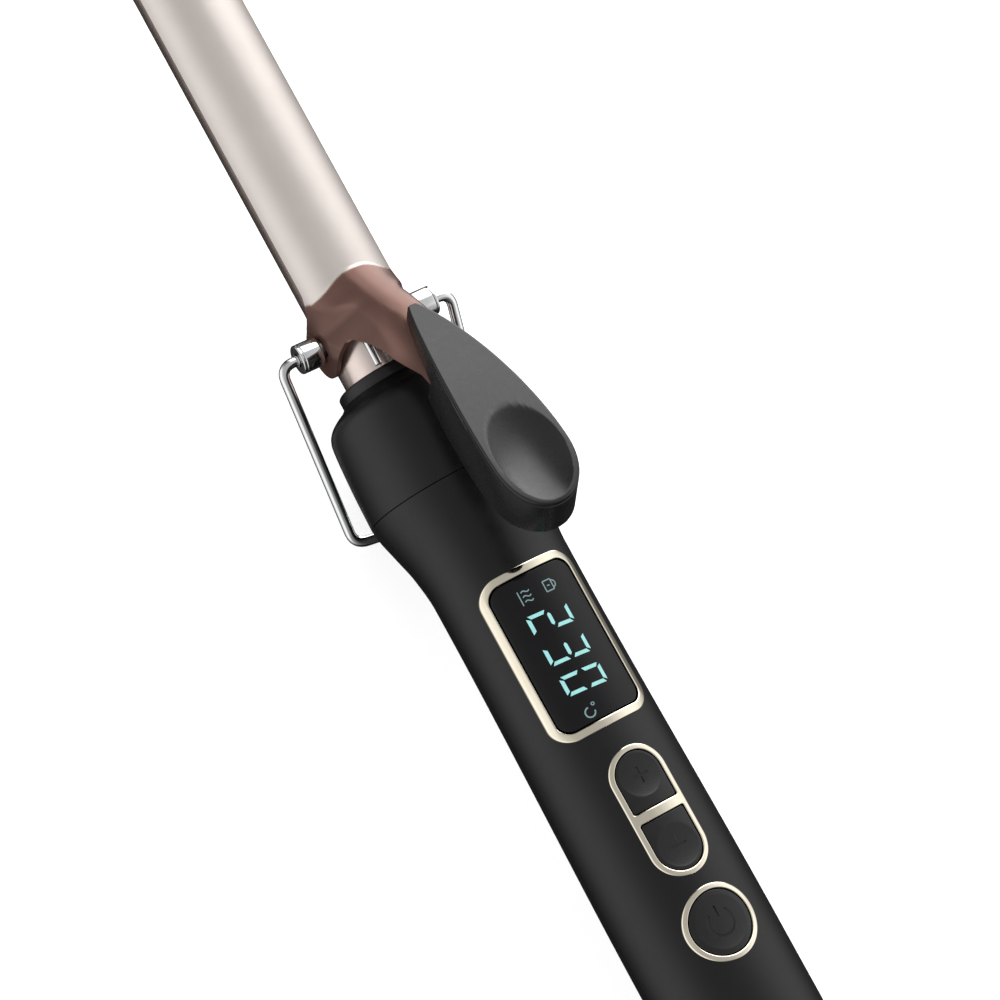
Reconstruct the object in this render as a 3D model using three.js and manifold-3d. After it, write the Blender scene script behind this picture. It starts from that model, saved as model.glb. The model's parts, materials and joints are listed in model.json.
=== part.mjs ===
// A 19 mm spring-clip curling iron with a digital display, modelled as the
// separate pieces it comes apart into. Millimetres, +Z up, +X along the barrel.
// Every x below is measured from the hinge axis and every z from the barrel axis;
// the last lines stand the whole iron on its folded stand wire.
import * as THREE from 'three';
import { mergeVertices } from 'three/addons/utils/BufferGeometryUtils.js';
import Module from 'manifold-3d';

const wasm = await Module();
wasm.setup();

// ---- driving dimensions ----------------------------------------------------
const GAP = 0.3;                    // clearance between pieces that touch

const BARREL_R = 9.5;
const BARREL_WALL = 0.8;
const BARREL_REAR_X = -24;
const BARREL_FRONT_X = 142;
const TIP_FRONT_X = 165;
const TIP_R = 10.4;

const COLLAR_FRONT_X = -10.3;
const COLLAR_REAR_X = -36.7;
const COLLAR_REAR_R = 18.42;
const COLLAR_WALL = 2.2;
const FLANGE_R = 12.3;

const SHELL_REAR_X = -174;
const SHELL_WALL = 2;
const TAIL_HOLE_R = 6.3;
// outer radius of the handle at stations along it, tail first
const HANDLE_STATIONS = [
  [-173.2, 12.4], [-170.5, 14.4], [-164, 15.6], [-142, 15.6], [-66, 14.75],
  [-57, 14.78], [-50.3, 15.5], [-44, 17], [-39.5, 18.1], [-37.1, 18.42],
];

const CLIP_FRONT_X = 138;
const CLIP_SHEET = 0.6;             // sheet thickness along the barrel
const HOOD_SHEET = 0.9;             // pressed thickness at the hood and tongue
const CLIP_R = 10.4;                // outer radius along the barrel
const EAR_IN_Y = 9.8;
const EAR_OUT_Y = 10.6;
const EAR_R = 6.4;
const HOOD_R = 5.8;                 // radius of the hood's crown above the barrel

const STUD_R = 1.9;
const STUD_IN_Y = 8.75;
const STUD_OUT_Y = 13;
const SLEEVE_R = 3.1;
const SLEEVE_IN_Y = 11.2;
const SLEEVE_OUT_Y = 16;
const SLEEVE_CHAMFER = 0.5;

const WIRE_R = 1.1;
const STAND_BORE_R = 1.45;
const STAND_END_Y = 14.3;
const STAND_SIDE_Y = 20;
const STAND_CORNER_Y = 17.4;
const STAND_CORNER_X = -35.8;
const STAND_BOW_X = -38;
const STAND_Z = -20;
const STAND_BEND = 3;

const LEVER_PITCH = THREE.MathUtils.degToRad(20.5);
const LEVER_TIP_X = -5.6;
const LEVER_TIP_Z = 29.4;
const LEVER_TIP_HALF_Y = 1;
const LEVER_HALF_Y = 8.2;
const LEVER_WIDEST = 42;            // distance of the widest place from the tip
const LEVER_LENGTH = 53;
const LEVER_DEPTH = 9;              // below the straight line from tip to tail
const LEVER_ARCH = 3.5;             // rise of the top above that line
const LEVER_DRAFT = 0.4;
const LEVER_WALL = 1.8;
const DISH_CENTRE = 42;
const DISH_LENGTH = 20.6;
const DISH_WIDTH = 14.2;
const DISH_DEPTH = 2.6;

const DISPLAY_X = -76.6;
const DISPLAY_LENGTH = 35.8;
const DISPLAY_HALF_Y = 11;
const DISPLAY_END_BAND = 1.75;
const DISPLAY_SIDE_BAND = 1.6;
const DISPLAY_CORNER = 4.6;

const KEYS_X = -113.4;
const KEYS_LENGTH = 27.7;
const KEYS_HALF_Y = 6.2;
const KEYS_BAND = 1.15;
const KEYS_BAR = 2.1;

const POWER_X = -137.8;
const POWER_R = 7.7;
const POWER_BAND = 1.15;

const TRIM_PROUD = 0.35;            // how far the gold trims stand off the handle
const CAP_PROUD = 0.1;              // and how far the buttons and the window do
const BUTTON_STEM_Z = 9.4;
const BUTTON_STEM_TOP_Z = 13.8;
const BUTTON_STEM_R = 1.8;
const SWITCH_TOP_Z = 8.5;
const SWITCH_HALF = 3;
const SWITCH_PLUNGER_R = 1.6;

const PCB_TOP_Z = 3.1;
const PCB_THICK = 1.6;
const BOARD_SIZE = { rearX: -152, frontX: -53, halfY: 10.5 };

const GLAND_REAR_X = -190;
const GLAND_BORE_R = 3.5;
const SCREW_XS = [-47, -160];

const ROUND = 32;                   // facets of a large round piece
const SMALL = 12;                   // facets of a small round piece
const SKIN_FACETS = 40;             // facets of the handle and what wraps round it

// ---- finishes --------------------------------------------------------------
const finish = (color, roughness, metalness) =>
  new THREE.MeshStandardMaterial({ color, roughness, metalness });
const BLACK = finish(0x1c1c1e, 0.55, 0);
const GREY = finish(0x4c4c50, 0.5, 0);
const GOLD = finish(0xe6d9bf, 0.25, 1);
const ROSE = finish(0xc9a99a, 0.3, 0.9);
const BROWN = finish(0x7a5a50, 0.35, 0.9);
const CHROME = finish(0xd8dadc, 0.12, 1);
const STEEL = finish(0x9fa3a8, 0.4, 1);
const ALLOY = finish(0xb9bcc0, 0.45, 1);
const CERAMIC = finish(0xeeeae2, 0.7, 0);
const GLASS = finish(0x0c0d10, 0.08, 0);
const BOARD = finish(0x1d5a38, 0.6, 0);
const SLEEVING = finish(0xd9d4c8, 0.8, 0);

const iron = new THREE.Group();

// ---- small geometry tools --------------------------------------------------
function solidOf(geometry) {
  const bare = geometry.clone();
  bare.deleteAttribute('normal');
  bare.deleteAttribute('uv');
  const merged = mergeVertices(bare, 1e-4);
  const corners = merged.index.array;
  const triangles = [];
  for (let i = 0; i < corners.length; i += 3) {
    const [a, b, c] = corners.slice(i, i + 3);
    if (a !== b && b !== c && c !== a) triangles.push(a, b, c);
  }
  return new wasm.Manifold(new wasm.Mesh({
    numProp: 3,
    vertProperties: new Float32Array(merged.attributes.position.array),
    triVerts: new Uint32Array(triangles),
  }));
}

function geometryOf(solid) {
  const mesh = solid.getMesh();
  const geometry = new THREE.BufferGeometry();
  geometry.setAttribute('position', new THREE.BufferAttribute(mesh.vertProperties, 3));
  geometry.setIndex(new THREE.BufferAttribute(mesh.triVerts, 1));
  geometry.computeVertexNormals();
  return geometry;
}

function add(name, shape, material) {
  const geometry = shape instanceof THREE.BufferGeometry ? shape : geometryOf(shape);
  const mesh = new THREE.Mesh(geometry, material);
  mesh.name = name;
  iron.add(mesh);
}

// Solid of revolution about the X axis from an outline of [x, radius] points.
function revolve(outline, facets = ROUND) {
  let area = 0;
  outline.forEach(([x, r], i) => {
    const [nextX, nextR] = outline[(i + 1) % outline.length];
    area += r * nextX - nextR * x;
  });
  const turned = area > 0 ? outline : [...outline].reverse();
  const ring = turned.map(([x, r]) => new THREE.Vector2(r, x));
  const onAxis = ring.some((p) => p.x === 0);
  if (!onAxis) ring.push(ring[0].clone());
  const geometry = new THREE.LatheGeometry(ring, facets);
  geometry.rotateZ(-Math.PI / 2);
  return geometry;
}

function tube(x0, x1, outer, inner, facets = ROUND) {
  return revolve([[x0, inner], [x0, outer], [x1, outer], [x1, inner]], facets);
}

function rodX(x0, x1, radius, y = 0, z = 0, facets = SMALL) {
  const geometry = new THREE.CylinderGeometry(radius, radius, x1 - x0, facets);
  geometry.rotateZ(-Math.PI / 2);
  geometry.translate((x0 + x1) / 2, y, z);
  return geometry;
}

function rodY(y0, y1, radius, x = 0, z = 0, facets = SMALL) {
  const geometry = new THREE.CylinderGeometry(radius, radius, y1 - y0, facets);
  geometry.translate(x, (y0 + y1) / 2, z);
  return geometry;
}

function rodZ(z0, z1, radius, x = 0, y = 0, facets = SMALL) {
  const geometry = new THREE.CylinderGeometry(radius, radius, z1 - z0, facets);
  geometry.rotateX(Math.PI / 2);
  geometry.translate(x, y, (z0 + z1) / 2);
  return geometry;
}

function box(x0, x1, y0, y1, z0, z1) {
  const geometry = new THREE.BoxGeometry(x1 - x0, y1 - y0, z1 - z0);
  geometry.translate((x0 + x1) / 2, (y0 + y1) / 2, (z0 + z1) / 2);
  return geometry;
}

// A plan shape (x, y) raised from z0 to z1.
function prismZ(shape, z0, z1, curveSegments = 5) {
  const geometry = new THREE.ExtrudeGeometry(shape, { depth: z1 - z0, bevelEnabled: false, curveSegments });
  geometry.translate(0, 0, z0);
  return geometry;
}

// A side shape (x, z) drawn across from y0 to y1.
function prismY(shape, y0, y1, curveSegments = 8) {
  const geometry = new THREE.ExtrudeGeometry(shape, { depth: y1 - y0, bevelEnabled: false, curveSegments });
  geometry.rotateX(Math.PI / 2);
  geometry.translate(0, y1, 0);
  return geometry;
}

function polygon(points) {
  return new THREE.Shape(points.map(([x, y]) => new THREE.Vector2(x, y)));
}

function roundedRect(centreX, length, halfY, radius) {
  const x0 = centreX - length / 2;
  const x1 = centreX + length / 2;
  const shape = new THREE.Shape();
  shape.absarc(x1 - radius, -halfY + radius, radius, -Math.PI / 2, 0);
  shape.absarc(x1 - radius, halfY - radius, radius, 0, Math.PI / 2);
  shape.absarc(x0 + radius, halfY - radius, radius, Math.PI / 2, Math.PI);
  shape.absarc(x0 + radius, -halfY + radius, radius, Math.PI, 1.5 * Math.PI);
  return shape;
}

function disc(centreX, radius) {
  const shape = new THREE.Shape();
  shape.absarc(centreX, 0, radius, 0, 2 * Math.PI);
  return shape;
}

function handleRadius(x) {
  const after = HANDLE_STATIONS.findIndex(([station]) => station >= x);
  const [x1, r1] = HANDLE_STATIONS[after];
  const [x0, r0] = HANDLE_STATIONS[after - 1];
  return r0 + (r1 - r0) * (x - x0) / (x1 - x0);
}

// The skin of the handle between two offsets from its outer surface.
function handleSkin(x0, x1, outer, inner) {
  const xs = HANDLE_STATIONS.map(([x]) => x).filter((x) => x > x0 && x < x1);
  const stations = [x0, ...xs, x1];
  const outside = stations.map((x) => [x, handleRadius(x) + outer]);
  const inside = stations.map((x) => [x, handleRadius(x) + inner]).reverse();
  return solidOf(revolve([...outside, ...inside], SKIN_FACETS));
}

// A trim or button: a plan shape taken out of the skin of the handle.
function wrapped(shape, outer, inner, curveSegments = 5) {
  const plan = solidOf(prismZ(shape, 2, 20, curveSegments));
  const [x0, x1] = [Math.min, Math.max].map((pick) => pick(...shape.getPoints(6).map((p) => p.x)));
  return plan.intersect(handleSkin(x0 - 1, x1 + 1, outer, inner));
}

function withHole(outer, inner) {
  outer.holes.push(inner);
  return outer;
}

// ---- barrel and what is inside it ------------------------------------------
function barrelPieces() {
  const bore = BARREL_R - BARREL_WALL;
  const studHole = solidOf(rodY(-12, 12, STUD_R + GAP));
  const skin = solidOf(tube(BARREL_REAR_X, BARREL_FRONT_X, BARREL_R, bore));
  add('barrel_tube', skin.subtract(studHole), ROSE);

  const spigot = bore - GAP;
  const spigotLength = 8;
  const chamfer = 0.5;
  const shoulderX = BARREL_FRONT_X + GAP;
  const spigotX = shoulderX - spigotLength;
  add('cool_tip', revolve([
    [spigotX, 0], [spigotX, spigot - chamfer], [spigotX + chamfer, spigot],
    [shoulderX, spigot], [shoulderX, TIP_R - chamfer], [shoulderX + chamfer, TIP_R],
    [TIP_FRONT_X - 5, TIP_R], [TIP_FRONT_X - 2.2, TIP_R - 0.7], [TIP_FRONT_X - 0.6, TIP_R - 2.4],
    [TIP_FRONT_X, TIP_R - 4.6], [TIP_FRONT_X, 0],
  ]), BLACK);

  const mount = { rearX: BARREL_REAR_X + 1, frontX: 8, wall: 1 };
  const mountR = bore - GAP;
  add('barrel_mount_sleeve', tube(mount.rearX, mount.frontX, mountR, mountR - mount.wall), STEEL);

  const heaterX0 = 12;
  const heaterX1 = 128;
  const barShorter = 4;
  const barHalfY = 5;
  const barHalfZ = 1.2;
  const sensorR = 1.3;
  const barX0 = heaterX0 + barShorter;
  const barX1 = heaterX1 - barShorter;
  add('ptc_heater', box(barX0, barX1, -barHalfY, barHalfY, -barHalfZ, barHalfZ), CERAMIC);
  for (const [name, side] of [['heater_clamp_upper', 1], ['heater_clamp_lower', -1]]) {
    const half = new THREE.Shape();
    const flat = barHalfZ + GAP;
    const radius = bore - GAP;
    const edge = Math.asin(flat / radius);
    half.absarc(0, 0, radius, edge, Math.PI - edge);
    const bar = new THREE.ExtrudeGeometry(half, {
      depth: heaterX1 - heaterX0, bevelEnabled: false, curveSegments: 8,
    });
    bar.rotateX(Math.PI / 2);
    bar.rotateZ(Math.PI / 2);
    bar.translate(heaterX0, 0, 0);
    if (side < 0) bar.rotateX(Math.PI);
    add(name, bar, ALLOY);
  }
  const sensor = new THREE.SphereGeometry(sensorR, 10, 6);
  sensor.translate(heaterX1 + sensorR + 2 * GAP, 0, 0);
  add('temperature_sensor', sensor, GLASS);
}

// ---- front collar, and what fixes the barrel in it --------------------------
function collarPieces() {
  const boreR = BARREL_R + GAP;
  const boss = { y: 12.3, rearX: -19.7, frontX: -14.2, r: 2.4, pilotR: 1.3, pilotX: -15.4 };
  const plate = { rearX: -22, frontX: -20, r: 14.8 };
  const screw = { shankR: 1, headR: 2, headLength: 1.4, endX: -16 };
  let collar = solidOf(revolve([
    [COLLAR_REAR_X, COLLAR_REAR_R - COLLAR_WALL], [COLLAR_REAR_X, COLLAR_REAR_R],
    [-30, 18.25], [-24, 17.95], [-18.6, 17.5], [-17.2, 17.15], [-15.8, 16.3], [-14.6, 14.9],
    [-13.6, 13.1], [-12.8, FLANGE_R], [-11, FLANGE_R], [COLLAR_FRONT_X, FLANGE_R - 0.6],
    [COLLAR_FRONT_X, boreR], [-13.2, boreR], [-15.4, 12.6], [-19, 15.2],
  ], 36));
  const opening = solidOf(rodX(boss.rearX - 1, COLLAR_FRONT_X, boreR, 0, 0, ROUND));
  let retainer = solidOf(tube(plate.rearX, plate.frontX, plate.r, boreR));
  for (const side of [-1, 1]) {
    const y = side * boss.y;
    const lug = solidOf(rodX(boss.rearX, boss.frontX, boss.r, y)).subtract(opening);
    collar = collar.add(lug).subtract(solidOf(rodX(boss.rearX - 1, boss.pilotX, boss.pilotR, y)));
    const hole = rodX(plate.rearX - 1, plate.frontX + 1, screw.shankR + GAP, y);
    retainer = retainer.subtract(solidOf(hole));
  }
  add('front_collar', collar, BLACK);
  add('barrel_retainer', retainer, STEEL);

  const headX = plate.rearX - GAP;
  for (const [name, side] of [['retainer_screw_left', 1], ['retainer_screw_right', -1]]) {
    const y = side * boss.y;
    const head = solidOf(rodX(headX - screw.headLength, headX, screw.headR, y));
    const shank = solidOf(rodX(headX - 1, screw.endX, screw.shankR, y));
    add(name, head.add(shank), STEEL);
  }
}

// ---- handle shells ----------------------------------------------------------
const SHELL_SCREW = { headR: 2.7, headLength: 1.5, shankR: 1.2, endZ: 1.5 };
const SCREW_SEAT = 3.4;             // height of the head's seat above the lower skin
const SCREW_BOSS = { lowerR: 4, upperR: 3.6, meetZ: -6, boreR: SHELL_SCREW.shankR + GAP };

function screwWell(x) {
  const skinZ = handleRadius(x);
  const buried = 0.8;
  const floorZ = -skinZ + SCREW_SEAT;
  const { lowerR, upperR, meetZ, boreR } = SCREW_BOSS;
  return {
    boss: solidOf(rodZ(-skinZ + buried, meetZ, lowerR, x)),
    well: solidOf(rodZ(-skinZ - 1, floorZ, SHELL_SCREW.headR + 0.4, x)),
    hole: solidOf(rodZ(floorZ - 1, meetZ + 1, boreR, x)),
    upperBoss: solidOf(rodZ(meetZ + GAP, skinZ - buried, upperR, x)),
    upperHole: solidOf(rodZ(meetZ - 1, SHELL_SCREW.endZ + 2.5, boreR, x)),
    seatZ: floorZ - GAP,
  };
}

function shellPieces() {
  const outer = HANDLE_STATIONS.map(([x, r]) => [x, r]);
  const inner = HANDLE_STATIONS.slice(2).map(([x, r]) => [x, r - SHELL_WALL]).reverse();
  const whole = solidOf(revolve([
    [SHELL_REAR_X + 2, TAIL_HOLE_R], [SHELL_REAR_X, TAIL_HOLE_R], [SHELL_REAR_X, 10.6],
    ...outer, ...inner, [-168.5, 12.8], [SHELL_REAR_X + 2, 10.2],
  ], SKIN_FACETS));
  const half = (z0, z1) => solidOf(box(SHELL_REAR_X - 5, 0, -25, 25, z0, z1));
  let upper = whole.intersect(half(GAP / 2, 25));
  let lower = whole.intersect(half(-25, -GAP / 2));

  for (const x of SCREW_XS) {
    const well = screwWell(x);
    lower = lower.add(well.boss).subtract(well.well).subtract(well.hole);
    upper = upper.add(well.upperBoss).subtract(well.upperHole);
  }
  const cut = (shape) => { upper = upper.subtract(solidOf(prismZ(shape, 4, 25, 10))); };
  const windowLength = DISPLAY_LENGTH + 2 * GAP;
  cut(roundedRect(DISPLAY_X, windowLength, DISPLAY_HALF_Y + GAP, DISPLAY_CORNER + GAP));
  cut(roundedRect(KEYS_X, KEYS_LENGTH + 2 * GAP, KEYS_HALF_Y + GAP, KEYS_HALF_Y + GAP));
  cut(disc(POWER_X, POWER_R + GAP));
  add('upper_shell', upper, BLACK);
  add('lower_shell', lower, BLACK);

  SCREW_XS.forEach((x, i) => {
    const { seatZ } = screwWell(x);
    const head = solidOf(rodZ(seatZ - SHELL_SCREW.headLength, seatZ, SHELL_SCREW.headR, x));
    const shank = solidOf(rodZ(seatZ - 1, SHELL_SCREW.endZ, SHELL_SCREW.shankR, x));
    add(`shell_screw_${i + 1}`, head.add(shank), STEEL);
  });
}

// ---- display, gold trims and buttons ----------------------------------------
function controlPieces() {
  const bezel = roundedRect(DISPLAY_X, DISPLAY_LENGTH, DISPLAY_HALF_Y, DISPLAY_CORNER);
  const lensLength = DISPLAY_LENGTH - 2 * DISPLAY_END_BAND;
  const lensHalfY = DISPLAY_HALF_Y - DISPLAY_SIDE_BAND;
  const lensCorner = DISPLAY_CORNER - DISPLAY_END_BAND;
  withHole(bezel, roundedRect(DISPLAY_X, lensLength, lensHalfY, lensCorner));
  add('display_bezel', wrapped(bezel, TRIM_PROUD, -SHELL_WALL), GOLD);
  const lens = roundedRect(DISPLAY_X, lensLength - 2 * GAP, lensHalfY - GAP, lensCorner - GAP);
  add('display_lens', wrapped(lens, CAP_PROUD, -SHELL_WALL + GAP), GLASS);

  const keys = roundedRect(KEYS_X, KEYS_LENGTH, KEYS_HALF_Y, KEYS_HALF_Y - 0.01);
  const slotHalfY = KEYS_HALF_Y - KEYS_BAND;
  const slotEnd = KEYS_LENGTH / 2 - KEYS_BAND;
  const barHalf = KEYS_BAR / 2;
  let keyTrim = wrapped(keys, TRIM_PROUD, -SHELL_WALL);
  for (const side of [-1, 1]) {
    keyTrim = keyTrim.subtract(solidOf(prismZ(halfSlot(KEYS_X, side, barHalf, slotEnd, slotHalfY), 2, 20)));
  }
  add('button_bezel', keyTrim, GOLD);

  const key = (side) => halfSlot(KEYS_X, side, barHalf + GAP, slotEnd - GAP, slotHalfY - GAP);
  const keyX = (side) => KEYS_X + side * (barHalf + slotEnd) / 2;
  addButton('plus_button', key(1), keyX(1));
  addButton('minus_button', key(-1), keyX(-1));

  const ring = withHole(disc(POWER_X, POWER_R), disc(POWER_X, POWER_R - POWER_BAND));
  add('power_ring', wrapped(ring, TRIM_PROUD, -SHELL_WALL, 10), GOLD);
  addButton('power_button', disc(POWER_X, POWER_R - POWER_BAND - GAP), POWER_X);

  for (const [name, x] of [['plus_switch', keyX(1)], ['minus_switch', keyX(-1)], ['power_switch', POWER_X]]) {
    const half = SWITCH_HALF;
    const body = solidOf(box(x - half, x + half, -half, half, PCB_TOP_Z + GAP, SWITCH_TOP_Z - 1));
    add(name, body.add(solidOf(rodZ(SWITCH_TOP_Z - 1.5, SWITCH_TOP_Z, SWITCH_PLUNGER_R, x))), BLACK);
  }
}

// One half of the two-key slot: straight at the divider, round at its far end.
function halfSlot(centreX, side, inner, outer, halfY) {
  const shape = new THREE.Shape();
  const inX = centreX + side * inner;
  const start = side > 0 ? -Math.PI / 2 : Math.PI / 2;
  shape.absarc(centreX + side * (outer - halfY), 0, halfY, start, start + Math.PI);
  shape.lineTo(inX, side * halfY);
  shape.lineTo(inX, -side * halfY);
  return shape;
}

function addButton(name, shape, stemX) {
  const cap = wrapped(shape, CAP_PROUD, -SHELL_WALL);
  const stem = solidOf(rodZ(BUTTON_STEM_Z, BUTTON_STEM_TOP_Z, BUTTON_STEM_R, stemX));
  add(name, cap.add(stem), BLACK);
}

// ---- electronics in the handle ----------------------------------------------
// parts on the board: ends along it, half width, and height above or below it
const DISPLAY_MODULE = { rearX: -92, frontX: -60, halfY: 8, height: 5.9 };
const TRIAC = { rearX: -70, frontX: -60, halfY: 5, height: 4.5 };
const CAPACITOR = { rearX: -104, frontX: -87, halfY: 6, height: 9 };
const TERMINALS = { rearX: -149, frontX: -137, halfY: 7, height: 8 };
const FUSE = { rearX: -34, frontX: -26, r: 1.8 };
const LEAD_R = 0.9;
// where each heater lead runs: distance along the iron, and out from its middle
const LEAD_ROUTE = [[-52, 7], [-44, 7], [-34, 5.4], [-22, 4.2], [11, 4]];

function electronics() {
  const top = PCB_TOP_Z + GAP;
  const under = PCB_TOP_Z - PCB_THICK - GAP;
  const slab = ({ rearX, frontX, halfY }, z0, z1) => box(rearX, frontX, -halfY, halfY, z0, z1);
  const above = (piece) => slab(piece, top, top + piece.height);
  const below = (piece) => slab(piece, under - piece.height, under);
  add('main_pcb', slab(BOARD_SIZE, PCB_TOP_Z - PCB_THICK, PCB_TOP_Z), BOARD);
  add('display_module', above(DISPLAY_MODULE), GLASS);
  add('power_triac', below(TRIAC), BLACK);
  add('mains_capacitor', below(CAPACITOR), ROSE);
  add('terminal_block', below(TERMINALS), BLACK);
  add('thermal_fuse', rodX(FUSE.rearX, FUSE.frontX, FUSE.r), STEEL);
  for (const [name, side] of [['heater_lead_left', 1], ['heater_lead_right', -1]]) {
    const stops = LEAD_ROUTE.map(([x, y]) => new THREE.Vector3(x, side * y, 0));
    add(name, wire(new THREE.CatmullRomCurve3(stops), LEAD_R, 12, 8), SLEEVING);
  }
}

function wire(route, radius, steps, sides) {
  const section = new THREE.Shape();
  section.absarc(0, 0, radius, 0, 2 * Math.PI);
  return new THREE.ExtrudeGeometry(section, {
    steps, extrudePath: route, bevelEnabled: false, curveSegments: sides / 2,
  });
}

// ---- hinge hardware and stand ------------------------------------------------
function hingePieces() {
  for (const [label, side] of [['left', 1], ['right', -1]]) {
    const span = (near, far) => [Math.min(side * near, side * far), Math.max(side * near, side * far)];
    add(`pivot_stud_${label}`, rodY(...span(STUD_IN_Y, STUD_OUT_Y), STUD_R), STEEL);
    const chamfer = SLEEVE_CHAMFER;
    const turned = revolve([
      [SLEEVE_IN_Y, STUD_R + GAP], [SLEEVE_IN_Y, SLEEVE_R - chamfer], [SLEEVE_IN_Y + chamfer, SLEEVE_R],
      [SLEEVE_OUT_Y - chamfer, SLEEVE_R], [SLEEVE_OUT_Y, SLEEVE_R - chamfer],
      [SLEEVE_OUT_Y, STAND_BORE_R], [STUD_OUT_Y + GAP, STAND_BORE_R], [STUD_OUT_Y + GAP, STUD_R + GAP],
    ], 20);
    turned.rotateZ(side * Math.PI / 2);
    add(`pivot_sleeve_${label}`, turned, CHROME);
  }
}

// Straight runs joined by bends that start the given distance before each corner.
function bentRoute(corners, bend) {
  const route = new THREE.CurvePath();
  let from = corners[0];
  for (let i = 1; i < corners.length - 1; i += 1) {
    const corner = corners[i];
    const before = corner.clone().add(from.clone().sub(corner).setLength(bend));
    const after = corner.clone().add(corners[i + 1].clone().sub(corner).setLength(bend));
    route.add(new THREE.LineCurve3(from, before));
    route.add(new THREE.QuadraticBezierCurve3(before, corner, after));
    from = after;
  }
  route.add(new THREE.LineCurve3(from, corners[corners.length - 1]));
  return route;
}

function standPieces() {
  const at = (x, y, z) => new THREE.Vector3(x, y, z);
  const route = bentRoute([
    at(0, STAND_END_Y, 0), at(0, STAND_SIDE_Y, 0),
    at(STAND_CORNER_X, STAND_CORNER_Y, STAND_Z), at(STAND_BOW_X, 0, STAND_Z),
    at(STAND_CORNER_X, -STAND_CORNER_Y, STAND_Z), at(0, -STAND_SIDE_Y, 0), at(0, -STAND_END_Y, 0),
  ], STAND_BEND);
  add('stand_wire', wire(route, WIRE_R, 56, 10), CHROME);
}

// ---- spring clip: half-tube, hood, ears, tongue -------------------------------
// crown: height of the sheet's outer face on the centre line
// arc: how far it curves down from the top on each side, in degrees
// side: length of the flat side below that curve
const CLIP_STATIONS = [
  { x: CLIP_FRONT_X, radius: CLIP_R + 0.5, arc: 52, side: 0, sheet: CLIP_SHEET, crown: CLIP_R + 0.9 },
  { x: CLIP_FRONT_X - 2, radius: CLIP_R + 0.1, arc: 66, side: 0, sheet: CLIP_SHEET, crown: CLIP_R + 0.25 },
  { x: CLIP_FRONT_X - 5, radius: CLIP_R, arc: 71, side: 0, sheet: CLIP_SHEET, crown: CLIP_R },
  { x: 15, radius: CLIP_R, arc: 71, side: 0, sheet: CLIP_SHEET, crown: CLIP_R },
  { x: 11.5, radius: CLIP_R, arc: 72, side: 0.4, sheet: CLIP_SHEET, crown: CLIP_R + 0.2 },
  { x: 8.6, radius: 9.8, arc: 75, side: 3.4, sheet: HOOD_SHEET, crown: 12.1 },
  { x: 5, radius: 8.4, arc: 71, side: 7.6, sheet: HOOD_SHEET, crown: 15.4 },
  { x: 1, radius: HOOD_R, arc: 69, side: 13.8, sheet: HOOD_SHEET, crown: 19.3 },
  { x: -2, radius: HOOD_R, arc: 69, side: 14.1, sheet: HOOD_SHEET, crown: 22.2 },
  { x: -4.4, radius: 5.9, arc: 70, side: 5.4, sheet: HOOD_SHEET, crown: 24.2 },
  { x: -6.6, radius: 6.2, arc: 70, side: 2.5, sheet: HOOD_SHEET, crown: 25.6 },
  { x: -9.7, radius: 6.6, arc: 70, side: 0, sheet: HOOD_SHEET, crown: 27.1 },
  { x: -13.5, radius: 7.2, arc: 50, side: 0, sheet: HOOD_SHEET, crown: 28.6 },
  { x: -19, radius: 9.5, arc: 29, side: 0, sheet: HOOD_SHEET, crown: 30.6 },
  { x: -30, radius: 24, arc: 11, side: 0, sheet: HOOD_SHEET, crown: 32.8 },
  { x: -41, radius: 60, arc: 4.2, side: 0, sheet: HOOD_SHEET, crown: 35.6 },
];
const EAR_OUTLINE = [[5.6, -0.8], [6.4, 1.2], [4.4, 3.4], [0, 5], [-3.2, 5.6], [-4.8, 4.4], [-6, 2]];

function pressedSheet(stations, columns) {
  const rows = stations.length - 1;
  const sheet = new THREE.BoxGeometry(1, 1, 1, rows, columns, 1);
  const place = sheet.attributes.position;
  for (let i = 0; i < place.count; i += 1) {
    const row = Math.round((place.getX(i) + 0.5) * rows);
    const station = stations[rows - row];
    const arc = THREE.MathUtils.degToRad(station.arc);
    const reach = 2 * place.getY(i) * (station.radius * arc + station.side);
    const around = THREE.MathUtils.clamp(reach / station.radius, -arc, arc);
    const along = reach - around * station.radius;
    const radius = station.radius + (place.getZ(i) - 0.5) * station.sheet;
    const y = radius * Math.sin(around) + along * Math.cos(around);
    const z = radius * Math.cos(around) - along * Math.sin(around);
    place.setXYZ(i, station.x, y, station.crown - station.radius + z);
  }
  return solidOf(sheet);
}

function clipPieces() {
  let clip = pressedSheet(CLIP_STATIONS, 18);
  const ear = polygon(EAR_OUTLINE);
  ear.absarc(0, 0, EAR_R, Math.PI * 0.95, Math.PI * 1.72);
  for (const side of [-1, 1]) {
    const ys = [side * EAR_IN_Y, side * EAR_OUT_Y].sort((a, b) => a - b);
    clip = clip.add(solidOf(prismY(ear, ...ys, 10)));
  }
  clip = clip.subtract(solidOf(rodY(-20, 20, STUD_R + GAP)));
  for (const x of LEVER_SCREW_XS) {
    clip = clip.subtract(solidOf(rodZ(20, 40, LEVER_SCREW.shankR + GAP, x)));
  }
  add('clip_plate', clip, ROSE);
}

// ---- thumb lever ---------------------------------------------------------------
const LEVER_SCREW_XS = [-27, -36];
const LEVER_SCREW = { shankR: 1, headR: 1.9, headLength: 1.2, reach: 2.5, bossR: 2.4, bossHeight: 3.4 };

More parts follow.
